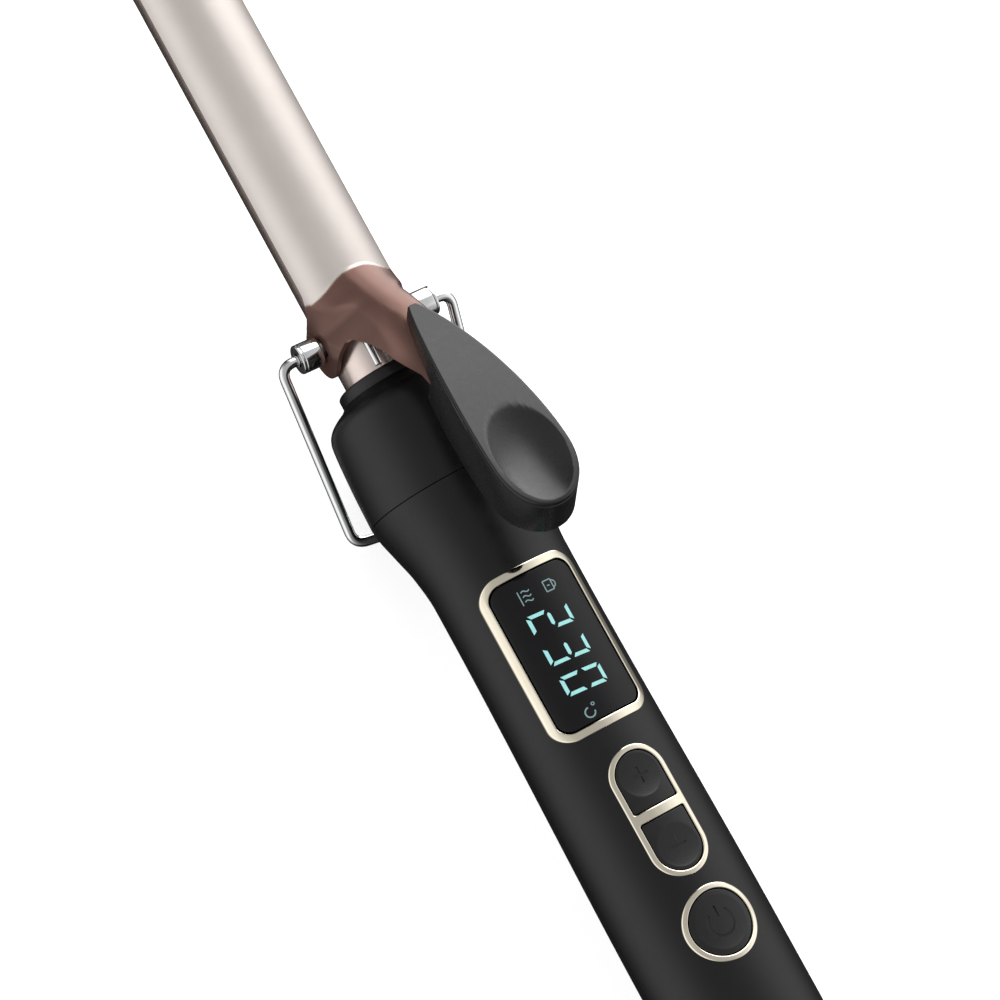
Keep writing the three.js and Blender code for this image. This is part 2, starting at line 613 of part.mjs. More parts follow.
// Egg-shaped outline along the lever's own length, tip at 0 and tail at -length.
function leverOutline(grow) {
  const halfY = LEVER_HALF_Y + grow;
  const tipHalfY = Math.max(LEVER_TIP_HALF_Y + grow, 0.4);
  const tipX = Math.min(grow * 2, 0);
  const widestX = -LEVER_WIDEST;
  const endLength = LEVER_LENGTH - LEVER_WIDEST + grow;
  const shape = new THREE.Shape();
  shape.moveTo(tipX, -tipHalfY);
  shape.lineTo(tipX, tipHalfY);
  shape.bezierCurveTo(-8, 4.2 + grow, -28, halfY, widestX, halfY);
  shape.absellipse(widestX, 0, endLength, halfY, Math.PI / 2, 1.5 * Math.PI);
  shape.bezierCurveTo(-28, -halfY, -8, -4.2 - grow, tipX, -tipHalfY);
  return shape;
}

// Puts a shape drawn in the lever's own frame, top face at z = 0, in place.
function asLever(geometry) {
  geometry.rotateY(LEVER_PITCH);
  geometry.translate(LEVER_TIP_X, 0, LEVER_TIP_Z);
  return solidOf(geometry);
}

function crownUnder(x) {
  const behind = CLIP_STATIONS.findIndex((station) => station.x <= x);
  const a = CLIP_STATIONS[behind - 1];
  const b = CLIP_STATIONS[behind];
  return a.crown + (b.crown - a.crown) * (x - a.x) / (b.x - a.x);
}

// Height of the arched top above the straight line, at a distance from the tip.
function archRise(distance) {
  const part = distance / LEVER_LENGTH;
  return 4 * LEVER_ARCH * part * (1 - part);
}

function leverPieces() {
  const block = new THREE.ExtrudeGeometry(leverOutline(LEVER_DRAFT / 2), {
    depth: 30, bevelEnabled: false, curveSegments: 12,
  });
  block.translate(0, 0, -24);
  // side view in the lever's own frame: arched top, straight bottom
  const top = [...Array(13).keys()].map((i) => {
    const distance = -1 + i * (LEVER_LENGTH + 2) / 12;
    return [-distance, archRise(distance)];
  });
  const profile = polygon([...top, [-LEVER_LENGTH - 1, -LEVER_DEPTH], [1, -LEVER_DEPTH]]);
  // and in the iron's frame: the front lies on the tongue
  const seat = [-3, -6.6, -9.7, -13.5, -19].map((x) => [x, crownUnder(x) + GAP]);
  const clear = polygon([[0, 60], ...seat, [-20.4, 30.6], [-24, 25], [-66, 25], [-66, 60]]);
  let lever = asLever(block).intersect(asLever(prismY(profile, -12, 12)));
  lever = lever.intersect(solidOf(prismY(clear, -12, 12)));

  const bowl = new THREE.SphereGeometry(1, 28, 28);
  const ballR = (DISH_WIDTH ** 2 / 4 + DISH_DEPTH ** 2) / (2 * DISH_DEPTH);
  bowl.scale(ballR * DISH_LENGTH / DISH_WIDTH, ballR, ballR);
  bowl.translate(-DISH_CENTRE, 0, ballR - DISH_DEPTH + archRise(DISH_CENTRE));
  lever = lever.subtract(asLever(bowl));

  // hollow underneath, round the tongue
  const hollow = new THREE.ExtrudeGeometry(leverOutline(-LEVER_WALL), {
    depth: 20, bevelEnabled: false, curveSegments: 8,
  });
  hollow.translate(0, 0, -20 + archRise(DISH_CENTRE) - DISH_DEPTH - LEVER_WALL);
  const behindSeat = solidOf(box(-70, -24, -12, 12, 20, 60));
  lever = lever.subtract(asLever(hollow).intersect(behindSeat));
  const tongueSlot = polygon([[-18.5, 30.9], [-18.5, 27], [-26, 27], [-44, 31], [-44, 37.2], [-30, 34]]);
  const tongueHalfY = 5.3;
  lever = lever.subtract(solidOf(prismY(tongueSlot, -tongueHalfY, tongueHalfY)));

  const { shankR, headR, headLength, reach, bossR, bossHeight } = LEVER_SCREW;
  LEVER_SCREW_XS.forEach((x) => {
    const seatZ = crownUnder(x) + 2.5 * GAP;
    const boss = solidOf(rodZ(seatZ, seatZ + bossHeight, bossR, x));
    lever = lever.add(boss).subtract(solidOf(rodZ(seatZ - 2, seatZ + reach + GAP, shankR + GAP, x)));
  });
  add('thumb_lever', lever, GREY);

  LEVER_SCREW_XS.forEach((x, i) => {
    const underZ = crownUnder(x) - HOOD_SHEET - 2 * GAP;
    const head = solidOf(rodZ(underZ - headLength, underZ, headR, x));
    const shank = solidOf(rodZ(underZ - headLength / 2, crownUnder(x) + reach, shankR, x));
    add(`lever_screw_${i + 1}`, head.add(shank), STEEL);
  });
}

// ---- hairpin spring under the tongue ---------------------------------------------
const SPRING_R = 0.8;
const SPRING_BEND = 1.3;
const SPRING_LEG_Y = 4;
const SPRING_LOW_Z = BARREL_R + 1.15;
// side view of one leg, from the collar to where it bears on the tongue
const SPRING_LEG = [
  [COLLAR_FRONT_X + 0.5, SPRING_LOW_Z], [2.2, SPRING_LOW_Z], [0.4, SPRING_LOW_Z + 3.6], [-11.6, 24.3],
];

function springPieces() {
  const leg = (side) => SPRING_LEG.map(([x, z]) => new THREE.Vector3(x, side * SPRING_LEG_Y, z));
  const route = bentRoute([...leg(1), ...leg(-1).reverse()], SPRING_BEND);
  add('clamp_spring', wire(route, SPRING_R, 44, 8), CHROME);
}

// ---- swivelling cord gland in the tail ---------------------------------------------
function tailPieces() {
  const insideX = SHELL_REAR_X + 2 + GAP;
  const outsideX = SHELL_REAR_X - GAP;
  add('swivel_gland', revolve([
    [GLAND_REAR_X, GLAND_BORE_R], [GLAND_REAR_X, 6.4], [GLAND_REAR_X + 0.8, 7.2],
    [outsideX - 2, 8.7], [outsideX, 8.3], [outsideX, TAIL_HOLE_R - GAP],
    [insideX, TAIL_HOLE_R - GAP], [insideX, 9.3], [insideX + 3, 9.3], [insideX + 3, GLAND_BORE_R],
  ], 28), BLACK);
  const plate = { rearX: -166.4, frontX: -164.8, r: 12.6 };
  add('swivel_contact_plate', rodX(plate.rearX, plate.frontX, plate.r, 0, 0, ROUND), STEEL);
}

barrelPieces();
collarPieces();
shellPieces();
controlPieces();
electronics();
hingePieces();
standPieces();
clipPieces();
leverPieces();
springPieces();
tailPieces();

// Stand the iron on its folded stand wire, with its length centred over the origin.
const extent = new THREE.Box3().setFromObject(iron, true);
iron.position.set(-(extent.min.x + extent.max.x) / 2, 0, -extent.min.z);
export default iron;
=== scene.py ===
"""Looks of a 19 mm spring-clip curling iron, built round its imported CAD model.

Shapes are drawn in millimetres from the hinge: x from the hinge axis towards the tip, z up from
the barrel axis. place() turns them into metres in the row frame.
"""
import json
from math import ceil, copysign, cos, degrees, hypot, pi, radians, sin, sqrt

import bmesh
import bpy
from mathutils import Matrix, Vector
from mathutils.geometry import delaunay_2d_cdt


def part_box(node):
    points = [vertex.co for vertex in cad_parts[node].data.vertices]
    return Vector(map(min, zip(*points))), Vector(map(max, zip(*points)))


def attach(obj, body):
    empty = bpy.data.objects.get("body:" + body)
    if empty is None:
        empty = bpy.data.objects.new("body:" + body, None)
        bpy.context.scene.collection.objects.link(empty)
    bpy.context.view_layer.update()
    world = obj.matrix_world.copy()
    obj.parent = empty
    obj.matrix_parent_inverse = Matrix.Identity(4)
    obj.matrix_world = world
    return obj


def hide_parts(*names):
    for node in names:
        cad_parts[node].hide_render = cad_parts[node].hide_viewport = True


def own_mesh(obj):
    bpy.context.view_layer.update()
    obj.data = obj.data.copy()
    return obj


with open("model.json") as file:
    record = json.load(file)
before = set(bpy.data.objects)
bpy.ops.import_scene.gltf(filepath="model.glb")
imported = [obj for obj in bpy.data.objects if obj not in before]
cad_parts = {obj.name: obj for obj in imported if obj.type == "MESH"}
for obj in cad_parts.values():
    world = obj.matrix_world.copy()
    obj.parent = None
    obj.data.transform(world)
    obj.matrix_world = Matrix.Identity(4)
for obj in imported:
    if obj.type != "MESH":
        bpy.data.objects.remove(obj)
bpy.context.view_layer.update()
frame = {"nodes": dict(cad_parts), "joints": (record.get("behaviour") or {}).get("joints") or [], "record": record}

JOINTS = {joint["name"]: joint for joint in frame["joints"]}
HINGE = Vector(JOINTS["clamp_hinge"]["pos_m"])
MM = 0.001


def place(x, y, z):
    return HINGE + Vector((x, y, z)) * MM


def cad(node):
    """Lowest and highest corner of a CAD node, in millimetres from the hinge."""
    low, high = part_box(node)
    return (low - HINGE) / MM, (high - HINGE) / MM


# ---- sizes taken from the frame ----
BARREL_LOW, BARREL_HIGH = cad("barrel_tube")
BARREL_R = BARREL_HIGH.y
TIP_LOW, TIP_HIGH = cad("cool_tip")
TIP_R = TIP_HIGH.y
COLLAR_HIGH = cad("front_collar")[1]
SHELL_LOW, SHELL_HIGH = cad("upper_shell")
CLIP_LOW, CLIP_HIGH = cad("clip_plate")
SLEEVE_LOW, SLEEVE_HIGH = cad("pivot_sleeve_left")
GLAND_LOW, GLAND_HIGH = cad("swivel_gland")
BEZEL_LOW, BEZEL_HIGH = cad("display_bezel")
LENS_LOW, LENS_HIGH = cad("display_lens")
KEYS_LOW, KEYS_HIGH = cad("button_bezel")
RING_LOW, RING_HIGH = cad("power_ring")
LENS_X = (LENS_LOW.x + LENS_HIGH.x) / 2
KEYS_X = (KEYS_LOW.x + KEYS_HIGH.x) / 2
RING_X = (RING_LOW.x + RING_HIGH.x) / 2
RING_R = (RING_HIGH.x - RING_LOW.x) / 2

# ---- sizes in millimetres ----
GAP = 0.3
SEAM = 0.12  # joint between two mouldings
SKIN_ROUND = 0.06  # rounding at the edge of a moulding
BARREL_WALL = 0.8
SHELL_WALL = 2.0
TAIL_HOLE_R = 6.3
FLANGE_R = 11.75
COLLAR_BORE_R = 9.8
TRIM_PROUD = 0.35
CAP_PROUD = 0.1
TRIM_DEPTH = 1.6
TRIM_ROUND = 0.28
END_BAND = 1.75
SIDE_BAND = 1.6
DISPLAY_CORNER = 4.6
KEYS_BAND = 1.15
KEYS_BAR = 2.1
RING_BAND = 1.15
LENS_THICK = 1.5
KEY_PLAY = 0.2
WINDOW_LAP = 0.2  # how far a trim covers the edge of its window
GROOVE_PITCH = 3
GROOVE_WIDE = 0.9
GROOVE_DEEP = 0.4
WIRE_R = 1.1
SPRING_R = 0.8
STUD_R = 1.9
STAND_BORE_R = 1.45
STAND_BORE_DEEP = 2.7
MANY_SIDES = 12  # a face with more sides is cut into triangles

HANDLE_STATIONS = [
    (-173.2, 12.4), (-170.5, 14.4), (-164, 15.6), (-142, 15.6), (-66, 14.75),
    (-57, 14.78), (-50.3, 15.5), (-44, 17), (-39.5, 18.1), (-37.1, 18.42),
]
HANDLE_REAR_X = HANDLE_STATIONS[0][0]
COLLAR_R = HANDLE_STATIONS[-1][1]
COLLAR_STATIONS = [
    (-30, 18.25), (-24, 17.95), (-18.6, 17.5), (-17.2, 17.1), (-15.8, 16.1), (-14.6, 14.4),
    (-13.6, 12.6), (-12.9, 11.9),
]


# ---- curves ----
def through(points):
    """A smooth curve through (x, y) points that never overshoots them."""
    points = sorted(points)
    xs = [p[0] for p in points]
    ys = [p[1] for p in points]
    steps = [(ys[i + 1] - ys[i]) / (xs[i + 1] - xs[i]) for i in range(len(xs) - 1)]
    slopes = [steps[0]]
    for before, after in zip(steps, steps[1:]):
        slopes.append(2 * before * after / (before + after) if before * after > 0 else 0)
    slopes.append(steps[-1])

    def curve(x):
        x = min(max(x, xs[0]), xs[-1])
        i = max(j for j in range(len(xs) - 1) if xs[j] <= x)
        width = xs[i + 1] - xs[i]
        t = (x - xs[i]) / width
        return (
            ys[i] * (1 + 2 * t) * (1 - t) ** 2
            + slopes[i] * width * t * (1 - t) ** 2
            + ys[i + 1] * t * t * (3 - 2 * t)
            + slopes[i + 1] * width * t * t * (t - 1)
        )

    return curve


handle_radius = through(HANDLE_STATIONS)


def smoothstep(low, high, value):
    t = min(max((value - low) / (high - low), 0), 1)
    return t * t * (3 - 2 * t)


def drawn_to(corner, start, end, t):
    """Point at share t of the curve from start to end that bends towards a corner."""
    return start * (1 - t) ** 2 + corner * 2 * t * (1 - t) + end * t * t


def softened(corners, steps=5):
    """A closed outline whose corners (a, b, radius) are rounded to that radius."""
    outline = []
    for i, corner in enumerate(corners):
        here = Vector(corner[:2])
        radius = corner[2] if len(corner) > 2 else 0
        if not radius:
            outline.append(here)
            continue
        back = Vector(corners[i - 1][:2]) - here
        ahead = Vector(corners[(i + 1) % len(corners)][:2]) - here
        reach = min(radius, 0.49 * back.length, 0.49 * ahead.length)
        start = here + back.normalized() * reach
        end = here + ahead.normalized() * reach
        outline += [drawn_to(here, start, end, k / steps) for k in range(steps + 1)]
    return outline


def arc(centre_x, centre_y, radius, start, end, steps):
    """Points from start to end degrees, both ends included."""
    points = []
    for k in range(steps + 1):
        a = radians(start + (end - start) * k / steps)
        points.append(Vector((centre_x + radius * cos(a), centre_y + radius * sin(a))))
    return points


def dense(outline, step):
    """The same closed outline with no side longer than step."""
    filled = []
    for i, here in enumerate(outline):
        ahead = outline[(i + 1) % len(outline)]
        parts = max(1, ceil((ahead - here).length / step))
        filled += [here.lerp(ahead, k / parts) for k in range(parts)]
    return filled


# ---- meshes ----
def added(name, data):
    """A new object in the scene that holds a mesh, a curve or a camera."""
    thing = bpy.data.objects.new(name, data)
    bpy.context.scene.collection.objects.link(thing)
    return thing


def mesh_of(name, verts, faces):
    mesh = bpy.data.meshes.new(name)
    mesh.from_pydata([place(*v) for v in verts], [], faces)
    return mesh


def piece(name, verts, faces, material, body="handle", nodes=(), crease=32, attribute=None):
    """A finished piece: closed, smooth but for its sharp edges, riding on its body."""
    mesh = mesh_of(name, verts, faces)
    if attribute:
        layer = mesh.attributes.new(attribute[0], "FLOAT", "POINT")
        layer.data.foreach_set("value", attribute[1])
    tidy(mesh)
    thing = added(name, mesh)
    dress(thing, material, body, nodes, crease)
    return thing


def tidy(mesh):
    """Merges shared points, drops what has no area, and points every face outwards."""
    work = bmesh.new()
    work.from_mesh(mesh)
    bmesh.ops.remove_doubles(work, verts=work.verts, dist=2e-6)
    bmesh.ops.dissolve_degenerate(work, edges=work.edges, dist=1e-7)
    bmesh.ops.triangulate(work, faces=[f for f in work.faces if len(f.verts) > MANY_SIDES])
    bmesh.ops.delete(work, geom=[e for e in work.edges if not e.link_faces], context="EDGES")
    bmesh.ops.delete(work, geom=[v for v in work.verts if not v.link_faces], context="VERTS")
    bmesh.ops.recalc_face_normals(work, faces=work.faces)
    work.to_mesh(mesh)
    work.free()


def dress(thing, material, body="handle", nodes=(), crease=32):
    thing.data.materials.clear()
    thing.data.materials.append(material)
    thing.data.shade_smooth()
    thing.data.set_sharp_from_angle(angle=radians(crease))
    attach(thing, body)
    if nodes:
        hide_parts(*nodes)


def blank(name, verts, faces):
    """A helper mesh, used to cut or join and then thrown away."""
    mesh = mesh_of(name, verts, faces)
    tidy(mesh)
    return added(name, mesh)


def prism(name, outline, low, high):
    """A helper block over a plan outline, between two heights."""
    return blank(name, *stacked([[(p.x, p.y, z) for p in outline] for z in (low, high)]))


def carve(thing, tools, operation="DIFFERENCE"):
    """Cuts tools out of thing, or joins them to it, and leaves a plain mesh."""
    for tool in tools:
        change = thing.modifiers.new("carve", "BOOLEAN")
        change.operation = operation
        change.solver = "EXACT"
        change.object = tool
        bpy.context.view_layer.objects.active = thing
        bpy.ops.object.modifier_apply(modifier=change.name)
        bpy.data.objects.remove(tool)


def turned(outline, facets=128, start=0.0, sweep=360.0, axis="x", centre=(0, 0)):
    """Solid of revolution from a closed outline of (distance along the axis, radius)."""
    whole = abs(sweep - 360) < 1e-6
    rings = facets if whole else facets + 1
    angles = [radians(start + sweep * k / facets) for k in range(rings)]
    verts = []
    for a in angles:
        for along, r in outline:
            p, q = centre[0] + r * sin(a), centre[1] + r * cos(a)
            verts.append({"x": (along, p, q), "y": (p, along, q), "z": (p, q, along)}[axis])
    count = len(outline)
    faces = []
    for k in range(facets):
        for i in range(count):
            a, b = k * count, (k + 1) % rings * count
            j = (i + 1) % count
            if outline[i][1] or outline[j][1]:
                faces.append((a + i, a + j, b + j, b + i))
    if not whole:
        faces.append(tuple(range(count)))
        faces.append(tuple(range((rings - 1) * count, rings * count)))
    return verts, faces


def rod(axis, near, far, radius, centre, facets=32):
    """A plain cutter rod along an axis letter from near to far."""
    ends = []
    for end in (near, far):
        ring = []
        for k in range(facets):
            a = 2 * pi * k / facets
            c, s = radius * cos(a), radius * sin(a)
            ring.append({
                "y": (centre[0] + c, end, centre[2] + s), "z": (centre[0] + c, centre[1] + s, end),
            }[axis])
        ends.append(ring)
    return stacked(ends)


def stacked(rings):
    """Joins rings of equal count into one skin, closed at both ends."""
    count = len(rings[0])
    verts = [tuple(v) for ring in rings for v in ring]
    faces = []
    for k in range(len(rings) - 1):
        for i in range(count):
            j = (i + 1) % count
            faces.append((k * count + i, k * count + j, (k + 1) * count + j, (k + 1) * count + i))
    faces.append(tuple(range(count)))
    faces.append(tuple(range((len(rings) - 1) * count, len(rings) * count)))
    return verts, faces


def inset(outline, distance):
    """A closed counter-clockwise outline moved inwards."""
    moved = []
    for i, here in enumerate(outline):
        along = outline[(i + 1) % len(outline)] - outline[i - 1]
        normal = Vector((-along.y, along.x)).normalized()
        moved.append(here + normal * distance)
    return moved


def spine_between(start, end):
    """Sends a plan point to the nearest point of a line along y = 0."""
    return lambda p: Vector((min(max(p.x, start), end), 0))


SPINE_SHARE = 0.985  # how much of the way to its spine a top runs


def cushion(outline, spine, top, bottom, rim, rings):
    """A closed cap: straight wall, rounded rim, and a top surface that runs in to its spine.

    spine(point) is where a point of the rim runs to, top(x, y) and bottom(x, y) are heights.
    """
    def ring(points, height):
        return [(p.x, p.y, height(p.x, p.y)) for p in points]

    layers = [ring(outline, bottom)]
    rim_steps = 4
    for k in range(rim_steps + 1):
        a = pi / 2 * k / rim_steps
        drop = rim * (1 - sin(a))
        layers.append(ring(inset(outline, rim * (1 - cos(a))), lambda x, y: top(x, y) - drop))
    edge = inset(outline, rim)
    for k in range(1, rings + 1):
        q = SPINE_SHARE * k / rings
        layers.append(ring([p.lerp(spine(p), q) for p in edge], top))
    return stacked(layers)


def heading(points, i):
    """Direction of an open line of points at its point i."""
    return (points[min(i + 1, len(points) - 1)] - points[max(i - 1, 0)]).normalized()


def wire(route, radius, sides=20):
    """A round bar along a list of points."""
    rings = []
    side = None
    for i, here in enumerate(route):
        along = heading(route, i)
        if side is None:
            side = along.orthogonal().normalized()
        side = (side - along * side.dot(along)).normalized()
        up = along.cross(side)
        spokes = [2 * pi * k / sides for k in range(sides)]
        rings.append([here + side * radius * cos(a) + up * radius * sin(a) for a in spokes])
    return stacked(rings)


def bent(corners, bend, steps=10, step=1.5):
    """Points along straight runs joined by curves that start bend before each corner."""
    route = [corners[0]]

    def run(end):
        start = route[-1]
        parts = max(1, round((end - start).length / step))
        route.extend(start.lerp(end, k / parts) for k in range(1, parts + 1))

    for before, corner, after in zip(corners, corners[1:], corners[2:]):
        start = corner + (before - corner).normalized() * bend
        end = corner + (after - corner).normalized() * bend
        run(start)
        route.extend(drawn_to(corner, start, end, k / steps) for k in range(1, steps + 1))
    run(corners[-1])
    return route


# ---- materials ----
def painted(name):
    """A new material, with its node tree and its shader."""
    material = bpy.data.materials.new(name)
    material.use_nodes = True
    tree = material.node_tree
    return material, tree, tree.nodes["Principled BSDF"]


def dial(node, **values):
    """Sets a node's inputs by name, with _ for a space."""
    for socket, value in values.items():
        node.inputs[socket.replace("_", " ")].default_value = value


def node_in(tree, kind):
    return tree.nodes.new("ShaderNode" + kind)


def grain(tree, scale, detail=3.0):
    """A noise fixed to the object."""
    where = node_in(tree, "TexCoord")
    noise = node_in(tree, "TexNoise")
    dial(noise, Scale=scale, Detail=detail, Roughness=0.55)
    tree.links.new(where.outputs["Object"], noise.inputs["Vector"])
    return noise.outputs["Fac"]


def ramp(tree, source, low, high):
    """Blends between two values or colours by a noise."""
    blend = node_in(tree, "ValToRGB")
    for element, position, level in zip(blend.color_ramp.elements, (0.35, 0.65), (low, high)):
        element.position = position
        element.color = (*level, 1) if isinstance(level, tuple) else (level, level, level, 1)
    tree.links.new(source, blend.inputs["Fac"])
    return blend.outputs["Color"]


def surface(name, colours, roughness, bump=(6000, 0.1, 2e-5), colour_scale=120, **sockets):
    """A material whose colour, gloss and relief come from noise at the real grain's size."""
    material, tree, shader = painted(name)
    dial(shader, **sockets)
    link = tree.links.new
    link(ramp(tree, grain(tree, colour_scale), *colours), shader.inputs["Base Color"])
    link(ramp(tree, grain(tree, colour_scale * 6), *roughness), shader.inputs["Roughness"])
    scale, strength, depth = bump
    relief = grain(tree, scale, detail=2)
    lift = node_in(tree, "Bump")
    dial(lift, Strength=strength, Distance=depth)
    link(relief, lift.inputs["Height"])
    link(lift.outputs["Normal"], shader.inputs["Normal"])
    return material


def rose_metal():
    """Ceramic-coated sheet: pale rose along the barrel; behind the fold, painted shade: a dark brown colour stands
    in for the dark surroundings it reflects.
    """
    material = surface(
        "rose_coat", ((0.81, 0.74, 0.70), (0.84, 0.77, 0.73)), (0.20, 0.25),
        bump=(9000, 0.1, 1e-5), Metallic=0.45, Specular_Tint=(0.7, 0.55, 0.5, 1),
    )
    tree = material.node_tree
    shader = tree.nodes["Principled BSDF"]
    pale = shader.inputs["Base Color"].links[0].from_socket
    # painted shade: where the mask is 1, behind the fold, a dark brown colour replaces the pale rose
    hood_shade = node_in(tree, "Attribute")
    hood_shade.attribute_name = "hood_shade"
    painted_shade_brown = ramp(tree, grain(tree, 90), (0.2, 0.108, 0.088), (0.215, 0.118, 0.096))
    blend = node_in(tree, "Mix")
    blend.data_type = "RGBA"
    tree.links.new(hood_shade.outputs["Fac"], blend.inputs["Factor"])
    tree.links.new(pale, blend.inputs["A"])
    tree.links.new(painted_shade_brown, blend.inputs["B"])
    tree.links.new(blend.outputs["Result"], shader.inputs["Base Color"])
    return material


def glow(name, colour, strength):
    """A lit segment: even light with the slight mottling of its diffuser."""
    material, tree, shader = painted(name)
    dial(shader, Roughness=0.4, Base_Color=(0.01, 0.012, 0.012, 1), Emission_Strength=strength)
    mottle = ramp(tree, grain(tree, 900), tuple(0.9 * c for c in colour), colour)
    tree.links.new(mottle, shader.inputs["Emission Color"])
    return material


SOFT_BLACK = surface(
    "soft_black", ((0.0038, 0.0038, 0.0040), (0.0048, 0.0048, 0.0050)), (0.32, 0.37),
    bump=(5200, 0.35, 2e-5), Specular_IOR_Level=0.45,
)
KEY_BLACK = surface(
    "key_black", ((0.010, 0.010, 0.0103), (0.012, 0.012, 0.0123)), (0.30, 0.36),
    bump=(5200, 0.3, 2e-5), Specular_IOR_Level=0.45,
)
LEVER_GREY = surface(
    "lever_grey", ((0.014, 0.014, 0.0143), (0.017, 0.017, 0.0173)), (0.26, 0.31),
    bump=(4200, 0.1, 1e-5), Specular_IOR_Level=0.5,
)
GOLD = surface(
    "champagne_plate", ((0.93, 0.855, 0.69), (0.95, 0.885, 0.74)), (0.07, 0.11),
    bump=(7000, 0.12, 1e-5), Metallic=1.0,
)
CHROME = surface(
    "bright_chrome", ((0.83, 0.84, 0.85), (0.87, 0.87, 0.88)), (0.05, 0.10),
    bump=(2500, 0.06, 1e-5), Metallic=1.0,
)
STEEL = surface(
    "plain_steel", ((0.42, 0.43, 0.45), (0.52, 0.53, 0.55)), (0.28, 0.42),
    bump=(5000, 0.2, 2e-5), Metallic=1.0,
)
ALLOY = surface("heater_alloy", ((0.60, 0.61, 0.62), (0.70, 0.70, 0.71)), (0.35, 0.5), Metallic=1.0)
CERAMIC = surface("heater_ceramic", ((0.78, 0.76, 0.72), (0.86, 0.85, 0.82)), (0.6, 0.75))
BOARD = surface("circuit_board", ((0.03, 0.16, 0.08), (0.04, 0.20, 0.10)), (0.35, 0.5))
MOULDED = surface("component_black", ((0.02, 0.02, 0.021), (0.03, 0.03, 0.031)), (0.4, 0.55))
SLEEVING = surface(
    "wire_sleeving", ((0.62, 0.58, 0.50), (0.76, 0.72, 0.64)), (0.7, 0.85), bump=(2600, 0.6, 1e-4)
)
GLASS = surface(
    "display_glass", ((0.008, 0.008, 0.0095), (0.010, 0.010, 0.0115)), (0.05, 0.09),
    bump=(400, 0.02, 1e-5), Specular_IOR_Level=0.25,
)
ROSE = rose_metal()
# The barrel's copy of the rose coating: more metallic, and with a darker base colour than the clip's; the darker
# colour is partly painted shade for the barrel's dark edges beside the clip.
ROSE_TUBE = surface(
    "rose_tube", ((0.76, 0.64, 0.59), (0.79, 0.68, 0.63)), (0.22, 0.27),
    bump=(9000, 0.15, 1e-5), Metallic=0.9, Specular_Tint=(0.6, 0.45, 0.4, 1),
)
LIT = glow("lit_segment", (0.40, 0.86, 0.84), 0.95)
LIT_DIM = glow("lit_icon", (0.42, 0.66, 0.66), 0.5)

SLOT_MATERIALS = {
    "soft_touch_black": SOFT_BLACK, "key_black": KEY_BLACK, "lever_grey": LEVER_GREY,
    "champagne_trim": GOLD, "rose_gold_coating": ROSE, "bright_chrome": CHROME,
    "plain_steel": STEEL, "heater_alloy": ALLOY, "heater_ceramic": CERAMIC,
    "display_glass": GLASS, "circuit_board": BOARD, "component_black": MOULDED,
    "wire_sleeving": SLEEVING,
}
SLOT_OF = {material.name: slot for slot, material in SLOT_MATERIALS.items()}
SLOT_OF[ROSE_TUBE.name] = "rose_gold_coating"
SLOT_OF[LIT.name] = SLOT_OF[LIT_DIM.name] = "display_glass"


def finish_cad_nodes():
    """Every CAD node gets its slot's material; most are then replaced by a finer piece."""
    for part in frame["record"]["subparts"]:
        node = frame["nodes"][part["node"]]
        node.data.materials.clear()
        node.data.materials.append(SLOT_MATERIALS[part["material_slot"]])


# ---- barrel and tip ----
def barrel():
    bore = BARREL_R - BARREL_WALL
    tube = turned(softened([
        (BARREL_LOW.x, bore, 0.2), (BARREL_LOW.x, BARREL_R, 0.2),
        (BARREL_HIGH.x, BARREL_R, 0.25), (BARREL_HIGH.x, bore, 0.2),
    ]), 160)
    thing = piece("barrel_skin", *tube, ROSE_TUBE, "handle", ["barrel_tube"])
    carve(thing, [blank("stud_cut", *rod("y", -12, 12, STUD_R + GAP, (0, 0, 0)))])
    dress(thing, ROSE_TUBE)


def grooves(start, radius, widening=0.0):
    """Three shallow grip grooves, as outline corners; the radius may widen from one to the next."""
    corners = []
    for k in range(3):
        x = start + GROOVE_PITCH * k
        r = radius + widening * GROOVE_PITCH * k
        corners += [
            (x, r, 0.3), (x + GROOVE_WIDE / 2, r - GROOVE_DEEP, 0.3),
            (x + GROOVE_WIDE, r + widening / 2, 0.3),
        ]
    return corners


def cool_tip():
    shoulder = BARREL_HIGH.x + GAP
    front = TIP_HIGH.x
    spigot = BARREL_R - BARREL_WALL - GAP
    outline = [
        (TIP_LOW.x, 0), (TIP_LOW.x, spigot, 0.6), (shoulder, spigot, 0.1), (shoulder, TIP_R, 0.6),
        *grooves(shoulder + 5, TIP_R),
        (front - 4.8, TIP_R, 1.6), (front - 1, TIP_R - 1.6, 2), (front, TIP_R - 4.6, 0.4), (front, 0),
    ]
    piece("cool_tip_cap", *turned(softened(outline), 128), SOFT_BLACK, "handle", ["cool_tip"], crease=50)


# ---- collar ----
def collar():
    rear = SHELL_HIGH.x + SEAM
    front = COLLAR_HIGH.x
    slope = through([(rear, COLLAR_R)] + COLLAR_STATIONS)
    foot = COLLAR_STATIONS[-1][0]
    steps = 60
    skin = [(rear, 16.2), (rear, COLLAR_R - SKIN_ROUND)]
    for k in range(steps + 1):
        x = rear + SKIN_ROUND + (foot - rear - SKIN_ROUND) * k / steps
        skin.append((x, slope(x)))
    flange = softened([
        (-12.75, FLANGE_R - 0.12, 0.12), (-12.45, FLANGE_R, 0.2), (front, FLANGE_R, 0.7),
        (front, COLLAR_BORE_R, 0.25), (-13.2, COLLAR_BORE_R), (-15.4, 12.6), (-19, 15.2),
    ])
    outline = skin + [tuple(p) for p in flange]
    piece("collar_skin", *turned(outline, 160), SOFT_BLACK, "handle", ["front_collar"], crease=40)


